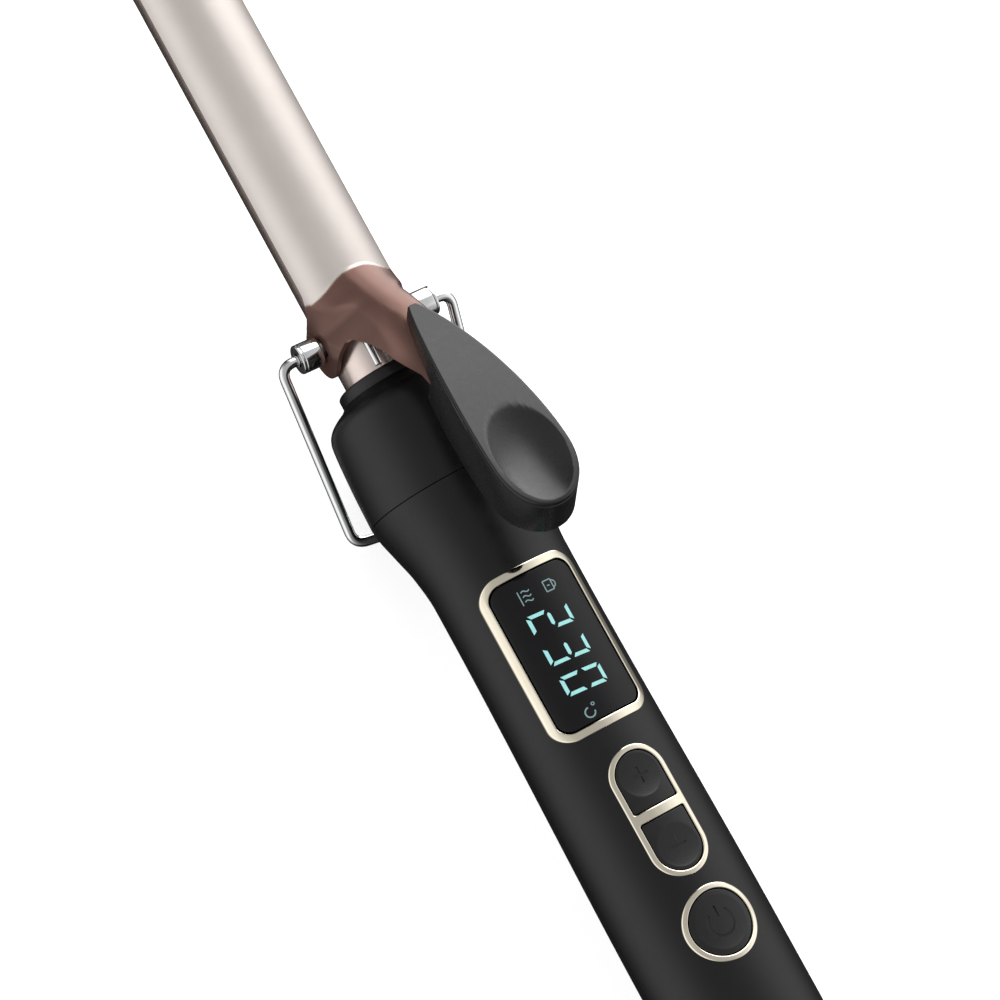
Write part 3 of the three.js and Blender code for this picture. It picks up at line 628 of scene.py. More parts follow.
# ---- handle shells ----
def handle_outline():
    """Half section of both shells: outer skin, then the inside back to the tail."""
    front, rear = SHELL_HIGH.x, SHELL_LOW.x
    steps = 110
    outside = [(rear + 2, TAIL_HOLE_R), (rear, TAIL_HOLE_R + 0.15), (rear, 10.6), (rear + 0.2, 11.5)]
    for k in range(steps + 1):
        x = HANDLE_REAR_X + (front - SKIN_ROUND - HANDLE_REAR_X) * k / steps
        outside.append((x, handle_radius(x)))
    outside.append((front, handle_radius(front) - SKIN_ROUND))
    inside = [(x, handle_radius(x) - SHELL_WALL) for x in (front, -39.5, -44, -57, -90, -142, -164)]
    return outside + inside + [(-168.5, 12.8), (rear + 2, 10.2)]


def window_cutter(outline):
    """A tall upright block, to cut a window through the upper shell."""
    return prism("window", outline, 4, 25)


def shells():
    outline = handle_outline()
    typical_r = 15
    edge = degrees(SEAM / 2 / typical_r)
    upper = piece("upper_skin", *turned(outline, 128, -90 + edge, 180 - 2 * edge), SOFT_BLACK,
                  "handle", ["upper_shell"])
    carve(upper, [
        window_cutter(rounded_rect(BEZEL_LOW, BEZEL_HIGH, DISPLAY_CORNER, WINDOW_LAP)),
        window_cutter(stadium(KEYS_LOW, KEYS_HIGH, WINDOW_LAP)),
        window_cutter(power_circle(RING_R - WINDOW_LAP)),
    ])
    dress(upper, SOFT_BLACK)
    lower = piece("lower_skin", *turned(outline, 128, 90 + edge, 180 - 2 * edge), SOFT_BLACK,
                  "handle", ["lower_shell"])
    for node in ("shell_screw_1", "shell_screw_2"):
        low, high = cad(node)
        x = (low.x + high.x) / 2
        carve(lower, [blank("well", *rod("z", -30, low.z - 0.1, 3.1, (x, 0, 0)))])
        screw(node, low, high, 2.7, 1.2, "handle")
    dress(lower, SOFT_BLACK)


def screw(node, low, high, head_r, shank_r, body):
    """A pan-head screw with a cross recess, head down."""
    x = (low.x + high.x) / 2
    head = 1.5
    recess = 0.9
    outline = softened([
        (low.z, 0), (low.z, head_r, 0.5), (low.z + head, head_r, 0.1),
        (low.z + head, shank_r, 0.1), (high.z, shank_r, 0.3), (high.z, 0),
    ])
    shape = turned(outline, 48, axis="z", centre=(x, 0))
    thing = piece(node + "_pan", *shape, STEEL, body, [node])
    carve(thing, [
        prism("arm", bar(x - half_x, x + half_x, -half_y, half_y), low.z - 1, low.z + recess)
        for half_x, half_y in ((1.5, 0.28), (0.28, 1.5))
    ])
    dress(thing, STEEL, body)


# ---- trims, lens and buttons ----
def skin_height(x, y, lift):
    """Height of the handle's surface, lifted by some millimetres, over a plan point."""
    radius = handle_radius(x) + lift
    return sqrt(max(radius * radius - y * y, 1))


def skin_at(lift):
    return lambda x, y: skin_height(x, y, lift)


def power_circle(radius):
    """A circle in plan round the power button."""
    return arc(RING_X, 0, radius, 0, 357.5, 143)


def rounded_rect(low, high, corner, shrink=0.0, shrink_y=None):
    """Counter-clockwise plan outline inside a box, moved in by shrink."""
    shrink_y = shrink if shrink_y is None else shrink_y
    x0, x1, half = low.x + shrink, high.x - shrink, high.y - shrink_y
    r = max(corner - shrink, 0.5)
    outline = []
    x0, x1, half = x0 + r, x1 - r, half - r
    for i, (x, y) in enumerate(((x1, -half), (x1, half), (x0, half), (x0, -half))):
        outline += arc(x, y, r, 90 * i - 90, 90 * i, 16)
    return dense(outline, 0.5)


def stadium(low, high, shrink=0.0):
    x0, x1, half = low.x + shrink, high.x - shrink, high.y - shrink
    steps = 36
    outline = arc(x1 - half, 0, half, -90, 90, steps) + arc(x0 + half, 0, half, 90, 270, steps)
    return dense(outline, 0.5)


def half_slot(side, shrink=0.0, corner=0.0):
    """One key's plan: straight at the divider, round at its far end, counter-clockwise."""
    length = (KEYS_HIGH.x - KEYS_LOW.x) / 2 - KEYS_BAND - shrink
    half = KEYS_HIGH.y - KEYS_BAND - shrink
    inner = KEYS_BAR / 2 + shrink
    steps = 32
    if side > 0:
        end = arc(KEYS_X + length - half, 0, half, -90, 90, steps)
    else:
        end = arc(KEYS_X - length + half, 0, half, 90, 270, steps)
    flat_x = KEYS_X + side * inner
    corners = [(flat_x, side * half, corner), (flat_x, -side * half, corner)]
    first, last = end[0], end[-1]
    square = softened([tuple(last), *corners, tuple(first)], 4)[1:-1]
    return dense(end + square, 0.5)


def trim(name, outlines, node):
    """A plated trim: a flat plate with rounded edges, bent on to the handle."""
    curve = bpy.data.curves.new(name, "CURVE")
    curve.dimensions = "2D"
    curve.fill_mode = "BOTH"
    for outline in outlines:
        spline = curve.splines.new("POLY")
        spline.points.add(len(outline) - 1)
        spline.use_cyclic_u = True
        for point, p in zip(spline.points, outline):
            point.co = (p.x, p.y, 0, 1)
    half = TRIM_DEPTH / 2
    curve.extrude = half - TRIM_ROUND
    curve.bevel_depth = TRIM_ROUND
    curve.bevel_resolution = 4
    curve.offset = -TRIM_ROUND
    flat = added(name + "_flat", curve)
    graph = bpy.context.evaluated_depsgraph_get()
    plate = bpy.data.meshes.new_from_object(flat.evaluated_get(graph))
    bpy.data.objects.remove(flat)
    verts = []
    for v in plate.vertices:
        verts.append((v.co.x, v.co.y, skin_height(v.co.x, v.co.y, TRIM_PROUD - half + v.co.z)))
    faces = [tuple(p.vertices) for p in plate.polygons]
    piece(name, verts, faces, GOLD, "handle", [node], crease=50)


def trims():
    trim("display_frame", [
        rounded_rect(BEZEL_LOW, BEZEL_HIGH, DISPLAY_CORNER),
        rounded_rect(BEZEL_LOW, BEZEL_HIGH, DISPLAY_CORNER, END_BAND, SIDE_BAND),
    ], "display_bezel")
    trim("keys_frame", [stadium(KEYS_LOW, KEYS_HIGH), half_slot(1, 0, 0.5), half_slot(-1, 0, 0.5)],
         "button_bezel")
    trim("power_frame", [power_circle(RING_R), power_circle(RING_R - RING_BAND)], "power_ring")


def lens():
    outline = rounded_rect(LENS_LOW, LENS_HIGH, DISPLAY_CORNER - END_BAND)
    reach = (LENS_HIGH.x - LENS_LOW.x) / 2 - LENS_HIGH.y
    spine = spine_between(LENS_X - reach, LENS_X + reach)
    shape = cushion(outline, spine, skin_at(CAP_PROUD), skin_at(-LENS_THICK), 0.12, rings=24)
    piece("display_window", *shape, GLASS, "handle", ["display_lens"], crease=50)


def key(name, outline, centre_x, spine_end, dish_r, symbol):
    """A key with a shallow round dish and a sunk symbol.

    The top runs in to the line between the dish's centre and spine_end.
    """
    dish_depth = 0.5
    lip = 0.35
    symbol_depth = 0.14
    stem_r = 1.8

    def top(x, y):
        away = hypot(x - centre_x, y)
        bowl = dish_depth * (1 - (away / dish_r) ** 2) * (1 - smoothstep(dish_r - lip, dish_r, away))
        return skin_height(x, y, CAP_PROUD) - max(bowl, 0)

    low, high = cad(name)
    body = BODIES_OF_KEYS[name]
    spine = spine_between(*sorted((centre_x, spine_end)))
    shape = cushion(outline, spine, top, skin_at(-SHELL_WALL), 0.15, rings=30)
    thing = piece(name + "_cap", *shape, KEY_BLACK, body, [name], crease=40)
    floor = skin_height(centre_x, 0, CAP_PROUD) - dish_depth
    cutters = []
    for mark in symbol:
        moved = [Vector((centre_x + p.x, p.y)) for p in mark]
        cutters.append(prism("symbol", moved, floor - symbol_depth, floor + 2))
    carve(thing, cutters)
    middle = ((low.x + high.x) / 2, 0, 0)
    carve(thing, [blank("stem", *rod("z", low.z, floor - 0.5, stem_r, middle))], "UNION")
    dress(thing, KEY_BLACK, body, crease=40)


BODIES_OF_KEYS = {
    "plus_button": "plus_key", "minus_button": "minus_key", "power_button": "power_key",
}


def bar(x0, x1, y0, y1):
    return [Vector((x0, y0)), Vector((x1, y0)), Vector((x1, y1)), Vector((x0, y1))]


def ribbon(points, width):
    """A strip of even width along plan points, as (left, right) pairs."""
    strip = []
    for i, here in enumerate(points):
        along = heading(points, i)
        normal = Vector((-along.y, along.x)) * width / 2
        strip.append((here + normal, here - normal))
    return strip


def stroke(points, width):
    """An outline round an open line of points."""
    strip = ribbon(points, width)
    return [right for _, right in strip] + [left for left, _ in reversed(strip)]


def keys():
    thin = 0.26  # half the width of a symbol's stroke
    reach = 1.7
    dish_r = 4.4
    end_x = (KEYS_HIGH.x - KEYS_LOW.x) / 2 - KEYS_HIGH.y
    spine_x = end_x - 2
    minus = [bar(-thin, thin, -reach, reach)]
    plus = [bar(-reach, reach, -thin, thin)] + minus
    for name, side, symbol in (("plus_button", 1, plus), ("minus_button", -1, minus)):
        outline = half_slot(side, KEY_PLAY, 0.6)
        key(name, outline, KEYS_X + side * end_x, KEYS_X + side * spine_x, dish_r, symbol)
    power = [stroke(arc(0, 0, 2.65, 40, 320, 48), 2 * thin), bar(1.1, 3.4, -thin, thin)]
    key("power_button", power_circle(RING_R - RING_BAND - KEY_PLAY), RING_X, RING_X, 5.4, power)


# ---- display content ----
def slab(strips):
    """Thin lit shapes lying on the window: each strip is a list of (left, right) plan points."""
    verts, faces = [], []
    low_lift, high_lift = CAP_PROUD - 0.05, CAP_PROUD + 0.015
    for strip in strips:
        base = len(verts)
        for left, right in strip:
            for lift in (low_lift, high_lift):
                verts += [(p.x, p.y, skin_height(p.x, p.y, lift)) for p in (left, right)]
        for k in range(len(strip) - 1):
            a, b = base + 4 * k, base + 4 * (k + 1)
            faces += [(a, b, b + 1, a + 1), (a + 2, a + 3, b + 3, b + 2),
                      (a, a + 2, b + 2, b), (a + 1, b + 1, b + 3, a + 3)]
        end = base + 4 * (len(strip) - 1)
        faces += [(base, base + 1, base + 3, base + 2), (end, end + 2, end + 3, end + 1)]
    return verts, faces


SEGMENTS = {"0": "abcdef", "2": "abged", "3": "abgcd"}
DIGIT_WIDE = 4.2
DIGIT_TALL = 8.9
SEGMENT_WIDE = 0.74
SLANT = 0.07
DIGIT_Y = 0.5


def to_plan(origin_x, across, up):
    """A digit's own (across, up) in plan: it reads towards the tail, with its top to -Y."""
    return Vector((origin_x - across - SLANT * up, DIGIT_Y - up))


def digit(character, origin_x):
    """Seven-segment strips of one digit centred on origin_x."""
    w, h, t = DIGIT_WIDE / 2, DIGIT_TALL / 2, SEGMENT_WIDE
    gap = 0.26
    steps = 8

    def line(x0, y0, x1, y1, inward):
        """Outer edge from end to end, inner edge shorter by the segment's width."""
        along = Vector((x1 - x0, y1 - y0)).normalized()
        start = Vector((x0, y0)) + along * gap * 1.6
        end = Vector((x1, y1)) - along * gap * 1.6
        inner_start = start + (along * 0.7 + inward) * t
        inner_end = end + (inward - along * 0.7) * t
        return [
            (start.lerp(end, k / steps), inner_start.lerp(inner_end, k / steps))
            for k in range(steps + 1)
        ]

    shapes = {
        "a": line(-w, h, w, h, Vector((0, -1))),
        "d": line(-w, -h, w, -h, Vector((0, 1))),
        "b": line(w, h, w, 0, Vector((-1, 0))),
        "c": line(w, 0, w, -h, Vector((-1, 0))),
        "f": line(-w, h, -w, 0, Vector((1, 0))),
        "e": line(-w, 0, -w, -h, Vector((1, 0))),
    }
    middle = []
    for k in range(steps + 1):
        x = -w + gap * 3 + (2 * w - gap * 6) * k / steps
        thick = t / 2 * min(1, 0.15 + 1.6 * min(k, steps - k) / 2)
        middle.append((Vector((x, thick)), Vector((x, -thick))))
    shapes["g"] = middle
    return [
        [tuple(to_plan(origin_x, p.x, p.y) for p in pair) for pair in shapes[s]]
        for s in SEGMENTS[character]
    ]


ICON_LINE = 0.24
DIGIT_PITCH = 6.7
FIRST_DIGIT_X = LENS_X + 5.7
ICONS_X = LENS_X + 11.8
HEAT_Y = 4.0
LOCK_Y = -2.4


def heat_icon():
    """A plate with three wavy lines of heat over it."""
    plate = [Vector((ICONS_X + d, HEAT_Y)) for d in (-1.5, -0.5, 0.5, 1.5)]
    strips = [ribbon(plate, 0.22)]
    sway = 0.22
    for across in (-1.0, 0.0, 1.0):
        wave = []
        for k in range(9):
            x = ICONS_X + across + sway * sin(2 * pi * k / 8)
            wave.append(Vector((x, HEAT_Y - 0.6 - 0.22 * k)))
        strips.append(ribbon(wave, ICON_LINE))
    return strips


def lock_icon():
    """A padlock: square body, round shackle and a short keyhole."""
    strips = []
    body = [(-1.1, -0.9), (1.1, -0.9), (1.1, 0.9), (-1.1, 0.9), (-1.1, -0.9)]
    for (x0, y0), (x1, y1) in zip(body, body[1:]):
        a = Vector((ICONS_X + x0, LOCK_Y + y0))
        b = Vector((ICONS_X + x1, LOCK_Y + y1))
        strips.append(ribbon([a.lerp(b, k / 4) for k in range(5)], ICON_LINE))
    strips.append(ribbon(arc(ICONS_X, LOCK_Y - 0.9, 0.75, 180, 360, 12), ICON_LINE))
    strips.append(ribbon([Vector((ICONS_X, LOCK_Y + d)) for d in (-0.3, 0.3)], ICON_LINE))
    return strips


def readout():
    strips = []
    for k, character in enumerate("230"):
        strips += digit(character, FIRST_DIGIT_X - k * DIGIT_PITCH)
    piece("lit_digits", *slab(strips), LIT, crease=20)
    piece("lit_icons", *slab(heat_icon() + lock_icon()), LIT_DIM, crease=20)
    unit_x = FIRST_DIGIT_X - 2 * DIGIT_PITCH - 6.3
    letter = [
        ribbon(arc(unit_x, 2.7, 1.0, 0, 270, 20), 0.3),
        ribbon(arc(unit_x + 1.3, 1.5, 0.3, 0, 350, 12), 0.2),
    ]
    piece("lit_unit", *slab(letter), LIT_DIM, crease=20)


# ---- hinge hardware, stand and spring ----
def sleeves():
    """Turned nuts either side of the barrel, with a blind bore for the stand's end."""
    inner, outer, radius = SLEEVE_LOW.y, SLEEVE_HIGH.y, SLEEVE_HIGH.z
    outline = softened([
        (inner, STUD_R + GAP), (inner, radius, 0.55), (outer - 0.9, radius, 0.12),
        (outer - 0.75, radius - 0.14, 0.05), (outer - 0.6, radius, 0.12),
        (outer, radius, 0.75), (outer, STAND_BORE_R, 0.15),
        (outer - STAND_BORE_DEEP, STAND_BORE_R), (outer - STAND_BORE_DEEP, STUD_R + GAP),
    ])
    for label, side in (("left", 1), ("right", -1)):
        shape = turned([(side * y, r) for y, r in outline], 64, axis="y")
        piece("pivot_nut_" + label, *shape, CHROME, "handle", ["pivot_sleeve_" + label])


def stand():
    """Both ends sit in the sleeves; the loop hangs back under the collar."""
    drop = -20
    corners = [Vector(p) for p in (
        (0, 14.3, 0), (0, 20, 0), (-35.8, 17.4, drop), (-38, 0, drop),
        (-35.8, -17.4, drop), (0, -20, 0), (0, -14.3, 0),
    )]
    bar_shape = wire(bent(corners, 3, steps=14, step=1.0), WIRE_R, 28)
    piece("stand_bar", *bar_shape, CHROME, "stand", ["stand_wire"], crease=50)


def spring():
    """A hairpin: from the collar along the barrel, then up and back to the tongue."""
    low_z = BARREL_R + 1.15
    leg = [
        (COLLAR_HIGH.x + 0.5, 5.0, low_z), (2.2, 4.8, low_z), (0.4, 4.0, low_z + 3.6),
        (-11.6, 2.8, 24.3),
    ]

    def half(side):
        return [Vector((x, side * y, z)) for x, y, z in leg]

    shape = wire(bent(half(1) + half(-1)[::-1], 1.3, steps=10, step=0.8), SPRING_R, 20)
    thing = piece("spring_wire", *shape, CHROME, "handle", ["clamp_spring"], crease=50)
    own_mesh(thing)


# ---- spring clip ----
# x, radius of the section, degrees it curves down from the top, height of its crown
CLIP_SECTIONS = [
    (138, 10.9, 52, 11.3), (136.4, 10.5, 66, 10.7), (133, 10.4, 71, 10.4), (15, 10.4, 71, 10.4),
    (11.0, 10.4, 71, 10.4), (10.4, 10.38, 72, 10.52), (9.7, 10.15, 73.5, 11.1), (8.6, 9.8, 75, 12.1),
    (5, 8.4, 71, 15.4), (1, 5.8, 69, 19.3), (-2, 5.8, 69, 22.2), (-4.4, 5.9, 70, 24.2),
    (-6.6, 6.2, 70, 25.6), (-9.7, 6.6, 70, 27.1), (-13.5, 7.2, 50, 28.6), (-19, 9.5, 29, 30.6),
    (-30, 24, 11, 32.8), (-41, 60, 4.2, 35.6),
]
section_radius = through([(s[0], s[1]) for s in CLIP_SECTIONS])
section_arc = through([(s[0], s[2]) for s in CLIP_SECTIONS])
section_crown = through([(s[0], s[3]) for s in CLIP_SECTIONS])
# how far back the fold between tube and hood lies at an angle from the top
fold_shift = through([(0, 0), (12, 0.15), (25, 0.8), (40, 1.8), (52, 2.2), (62, 2.3), (73, 1.6), (90, 1.5)])
CLIP_R = 10.4  # outer radius along the barrel
SHEET = 0.6
HOOD_EXTRA = 0.3  # how much thicker the sheet is at the hood
EAR_Y = 10.6  # outer face of the ears
EAR_R = 6.3
FOLD_X = 10.6
LEVER_SCREW_XS = (-27, -36)


def section_at(x, reach):
    """Where along the unfolded clip a point takes its section from."""
    angle = degrees(abs(reach) / CLIP_R)
    return x + fold_shift(min(angle, 90)) * smoothstep(0, 7, x) if x < 40 else x


def on_clip(x, reach):
    """Outer face of the clip: reach is the distance round the sheet from its centre line."""
    at = section_at(x, reach)
    radius, bend = section_radius(at), radians(section_arc(at))
    crown = section_crown(at)
    side = 1 if reach >= 0 else -1
    around = min(abs(reach) / radius, bend)
    along = abs(reach) - around * radius
    y = radius * sin(around) + along * cos(bend)
    soft = 0.9
    over = (y - EAR_Y + soft) / (2 * soft)
    if over > 0:
        y = EAR_Y - soft + 2 * soft * (over - over * over / 2) if over < 1 else EAR_Y
    return Vector((x, side * y, crown - radius + radius * cos(around) - along * sin(bend)))


def reach_at(x, z):
    """Distance round the sheet at which it comes down to a height."""
    low, high = 0.0, 45.0
    for _ in range(40):
        middle = (low + high) / 2
        if on_clip(x, middle).z > z:
            low = middle
        else:
            high = middle
    return low


def clip_edge():
    """Edge of the unfolded sheet on one side, from the mouth to the end of the tongue."""
    edge = []
    for x in (138, 137.4, 136.4, 135, 133, 100, 60, 30, 20, 15, 12, 10.6):
        edge.append((x, section_radius(x) * radians(section_arc(x))))
    front = [(8.6, 2.75), (7.2, 1.3), (6.0, -0.4), (5.1, -2.3), (4.5, -4.2)]
    angles = [radians(a) for a in range(-50, -186, -9)]
    ear = [(EAR_R * cos(a), EAR_R * sin(a)) for a in angles]
    back = [(-6.0, 2.2), (-5.3, 4.4), (-4.4, 6.5), (-3.5, 8.6), (-2.9, 10.2), (-3.0, 11.6)]
    rim = [
        (-3.9, 13.2), (-5.0, 14.9), (-7.2, 18.2), (-10.5, 21.8), (-14.2, 25.3), (-19, 29.1),
        (-24.5, 31.0),
    ]
    for x, z in front + ear + back + rim:
        edge.append((x, reach_at(x, z)))
    for x in (-30, -36, -39.5, -41):
        edge.append((x, 4.6 - (0.8 if x < -40 else 0)))
    return edge


def sheet_grid():
    """Points inside the unfolded sheet, closest where it bends most."""
    widest = 36.0
    rows = 110
    grid = []
    x = CLIP_LOW.x + 0.3
    while x < CLIP_HIGH.x:
        grid += [Vector((x, widest * (2 * k / rows - 1))) for k in range(rows + 1)]
        x += 0.35 if 6 < x < 12.5 else 0.7 if x < 16 or x > 130 else 2.5
    return grid


def clip():
    """Cuts the unfolded sheet with its holes, then bends it to shape."""
    edge = clip_edge()
    outline = [Vector(p) for p in edge] + [Vector((x, -reach)) for x, reach in reversed(edge)]
    border = dense(outline[::-1], 0.45)
    hinge_reach = reach_at(0, 0)
    holes = [arc(0, side * hinge_reach, STUD_R + GAP, 0, 350, 35) for side in (-1, 1)]
    holes += [arc(x, 0, 1.3, 0, 345, 23) for x in LEVER_SCREW_XS]
    points = list(border)
    loops = [list(range(len(border)))]
    for hole in holes:
        loops.append(list(range(len(points), len(points) + len(hole))))
        points += hole
    borders = points[:]
    clear = 0.22

    def free(p):
        if not inside(p, border):
            return False
        return all((p - q).length > clear for q in borders if abs(p.x - q.x) < clear)

    points += [p for p in sheet_grid() if free(p)]
    edges = [(loop[i], loop[(i + 1) % len(loop)]) for loop in loops for i in range(len(loop))]
    flat, _, triangles, *_ = delaunay_2d_cdt(points, edges, [], 0, 1e-6)
    kept = []
    for triangle in triangles:
        middle = sum((flat[i] for i in triangle), Vector((0, 0))) / len(triangle)
        if inside(middle, border) and not any(inside(middle, hole) for hole in holes):
            kept.append(tuple(triangle))
    verts, faces, hood_shade = folded(flat, kept)
    # the attribute holds the painted shade mask for the dark brown behind the fold
    piece("clip_sheet", verts, faces, ROSE, "clamp", ["clip_plate"], crease=40, attribute=("hood_shade", hood_shade))


def inside(point, outline):
    """Even-odd test of a plan point against a closed outline."""
    hit = False
    for i, a in enumerate(outline):
        b = outline[i - 1]
        if (a.y > point.y) != (b.y > point.y):
            if point.x < (b.x - a.x) * (point.y - a.y) / (b.y - a.y) + a.x:
                hit = not hit
    return hit


def folded(flat, triangles):
    """Bends the flat sheet to shape and gives it its thickness."""
    outer, inner, hood_shade = [], [], []
    small = 0.02
    for p in flat:
        here = on_clip(p.x, p.y)
        across = on_clip(p.x, p.y + small) - on_clip(p.x, p.y - small)
        along = on_clip(p.x + small, p.y) - on_clip(p.x - small, p.y)
        normal = along.cross(across).normalized()
        sheet = SHEET + HOOD_EXTRA * (1 - smoothstep(8, 14, p.x))
        outer.append(here)
        inner.append(here - normal * sheet)
        # painted shade mask: 1 behind the fold, where the clip's colour turns to the painted dark brown
        hood_shade.append(1 - smoothstep(FOLD_X - 0.45, FOLD_X + 0.05, section_at(p.x, p.y)))
    count = len(flat)
    faces = list(triangles) + [tuple(i + count for i in reversed(t)) for t in triangles]
    rim = {}
    for t in triangles:
        for i, a in enumerate(t):
            b = t[(i + 1) % len(t)]
            if (b, a) in rim:
                del rim[(b, a)]
            else:
                rim[(a, b)] = True
    faces += [(b, a, a + count, b + count) for a, b in rim]
    return outer + inner, faces, hood_shade + hood_shade


# ---- thumb lever ----
LEVER_PITCH = radians(20.5)
LEVER_TIP = Vector((-5.6, 0, 29.4))
LEVER_LENGTH = 53.0
LEVER_WIDEST = 42.0
LEVER_HALF = 8.2
LEVER_TIP_HALF = 1.0
LEVER_ARCH = 3.5
TAIL_FULLNESS = 0.92  # 1 is an ellipse, less is squarer
DISH = (42.0, 10.3, 7.1, 2.1)  # distance from the tip, half length, half width, depth


def lever_to_iron(x, y, z):
    c, s = cos(LEVER_PITCH), sin(LEVER_PITCH)
    return (LEVER_TIP.x + x * c + z * s, y, LEVER_TIP.z - x * s + z * c)


def arch(distance):
    part = distance / LEVER_LENGTH
    return 4 * LEVER_ARCH * part * (1 - part)


def lever_top(x, y):
    """Height of the lever's face over its own straight line from tip to tail."""
    centre, half_long, half_wide, depth = DISH
    away = hypot((x + centre) / half_long, y / half_wide)
    ball = (half_wide ** 2 + depth ** 2) / (2 * depth)
    bowl = 0.0
    if away < 1.15:
        reach = min(away, 1.0) * half_wide
        bowl = sqrt(ball * ball - reach * reach) - (ball - depth)
        bowl = bowl * (1 - smoothstep(0.985, 1.0, away)) if away > 0.985 else bowl
    return arch(-x) - bowl


def lever_outline():
    """Plan outline of the lever along its own straight line, tip at 0 and tail behind."""
    side = []
    steps = 46
    for k in range(steps + 1):
        t = k / steps
        x = 3 * t * (1 - t) ** 2 * -8 + 3 * t * t * (1 - t) * -28 + t ** 3 * -LEVER_WIDEST
        y = LEVER_TIP_HALF * (1 - t) ** 3 + 3 * t * (1 - t) ** 2 * 4.2
        side.append(Vector((x, y + (3 * t * t * (1 - t) + t ** 3) * LEVER_HALF)))
    end = LEVER_LENGTH - LEVER_WIDEST
    tail = []
    for k in range(1, 60):
        a = radians(90 + 180 * k / 60)
        across = copysign(abs(sin(a)) ** TAIL_FULLNESS, sin(a))
        x = -LEVER_WIDEST - end * abs(cos(a)) ** TAIL_FULLNESS
        tail.append(Vector((x, LEVER_HALF * across)))
    nose_r = 0.65
    corner_y = LEVER_TIP_HALF + 0.2 - nose_r
    nose = arc(-nose_r, -corner_y, nose_r, -75, 0, 6) + arc(-nose_r, corner_y, nose_r, 0, 75, 6)
    upper = side[2:]
    lower = [Vector((p.x, -p.y)) for p in reversed(upper)]
    return upper + tail + lower + nose


def lever_skin(outline):
    """Closed skin of the lever: skirt, rim groove, rounded edge and dished face."""
    groove = 0.22
    rim = 0.4
    rings = 60
    layers = []
    spine = spine_between(-LEVER_WIDEST, -0.8)

    def ring(points, height):
        layers.append([lever_to_iron(p.x, p.y, height(p.x, p.y)) for p in points])

    ring(inset(outline, -0.2), lambda x, y: -20)
    for depth, pull in ((1.55, -0.02), (1.35, 0.0), (1.2, groove), (1.05, groove), (0.9, 0.0)):
        ring(inset(outline, pull), lambda x, y: arch(-x) - depth)
    for k in range(6):
        a = pi / 2 * k / 5
        drop = rim * (1 - sin(a))
        ring(inset(outline, rim * (1 - cos(a))), lambda x, y: lever_top(x, y) - drop)
    edge = inset(outline, rim)
    for k in range(1, rings + 1):
        q = SPINE_SHARE * k / rings
        ring([p.lerp(spine(p), q) for p in edge], lever_top)
    return stacked(layers)


def side_cut(points, half_width, tilted=False):
    """A cutter block from its side view, in the iron's frame or along the tilted lever."""
    layers = []
    for y in (-half_width, half_width):
        layers.append([lever_to_iron(x, y, z) if tilted else (x, y, z) for x, z in points])
    return blank("side_cut", *stacked(layers))


def lever():
    outline = lever_outline()
    thing = piece("lever_cap", *lever_skin(outline), LEVER_GREY, "clamp", ["thumb_lever"])
    bottom = side_cut([(5, -9), (5, -40), (-60, -40), (-60, -9)], 14, tilted=True)
    seat = [(x, section_crown(x) + GAP) for x in (-3, -5, -7, -9, -11, -13.5, -16, -19)]
    under = side_cut([
        (6, 60), (6, 5), (-70, 5), (-70, 25), (-25, 25), (-23.8, 25.6), (-22.4, 27.4), (-21, 29.6),
        (-20, 30.7), *seat[::-1], (0, 60),
    ], 14)
    wall = 1.8
    floor = 2.3
    inner = [p for p in inset(outline, wall) if p.x < -14]
    ceiling = arch(DISH[0]) - DISH[3] - floor
    hollow = blank("hollow", *stacked([
        [lever_to_iron(p.x, p.y, z) for p in inner] for z in (-25, ceiling)
    ]))
    tongue = side_cut([(-18.5, 30.9), (-18.5, 27), (-26, 27), (-44, 31), (-44, 37.2), (-30, 34)], 5.3)
    carve(thing, [bottom, under, hollow, tongue])
    tidy(thing.data)
    dress(thing, LEVER_GREY, "clamp", crease=30)
    soften_bottom(thing)
    for node in ("lever_screw_1", "lever_screw_2"):
        low, high = cad(node)
        screw(node, low, high, 1.9, 1.0, "clamp")


def soften_bottom(thing):
    """Rounds the lever's cut lower edges a little so that they catch the light."""
    work = bmesh.new()
    work.from_mesh(thing.data)
    sharp = radians(50)
    edges = []
    for edge in work.edges:
        if len(edge.link_faces) != 2 or edge.calc_face_angle(0) < sharp:
            continue
        ends = [(v.co - HINGE) / MM for v in edge.verts]
        behind = max(p.x for p in ends) < -21
        low = min(p.z for p in ends) < 42
        if behind and low and min(abs(p.y) for p in ends) > 2.5:
            edges.append(edge)
    bmesh.ops.bevel(work, geom=edges, offset=0.18 * MM, segments=2, affect="EDGES", profile=0.5)
    work.to_mesh(thing.data)
    work.free()
    thing.data.shade_smooth()
    thing.data.set_sharp_from_angle(angle=radians(30))


# ---- tail ----
def gland():
    rear, front = GLAND_LOW.x, GLAND_HIGH.x
    bore = 3.5
    head_r = 9.3
    outside = SHELL_LOW.x - GAP
    inside_x = SHELL_LOW.x + 2 + GAP
    outline = [
        (rear, bore, 0.3), (rear, 7.2, 0.9), *grooves(rear + 4, 7.35, 0.1),
        (outside - 2, 8.7, 0.4), (outside, 8.3, 0.2), (outside, TAIL_HOLE_R - GAP),
        (inside_x, TAIL_HOLE_R - GAP), (inside_x, head_r), (front, head_r), (front, bore),
    ]
    shape = turned(softened(outline), 96)
    piece("gland_body", *shape, SOFT_BLACK, "cord_swivel", ["swivel_gland"], crease=50)


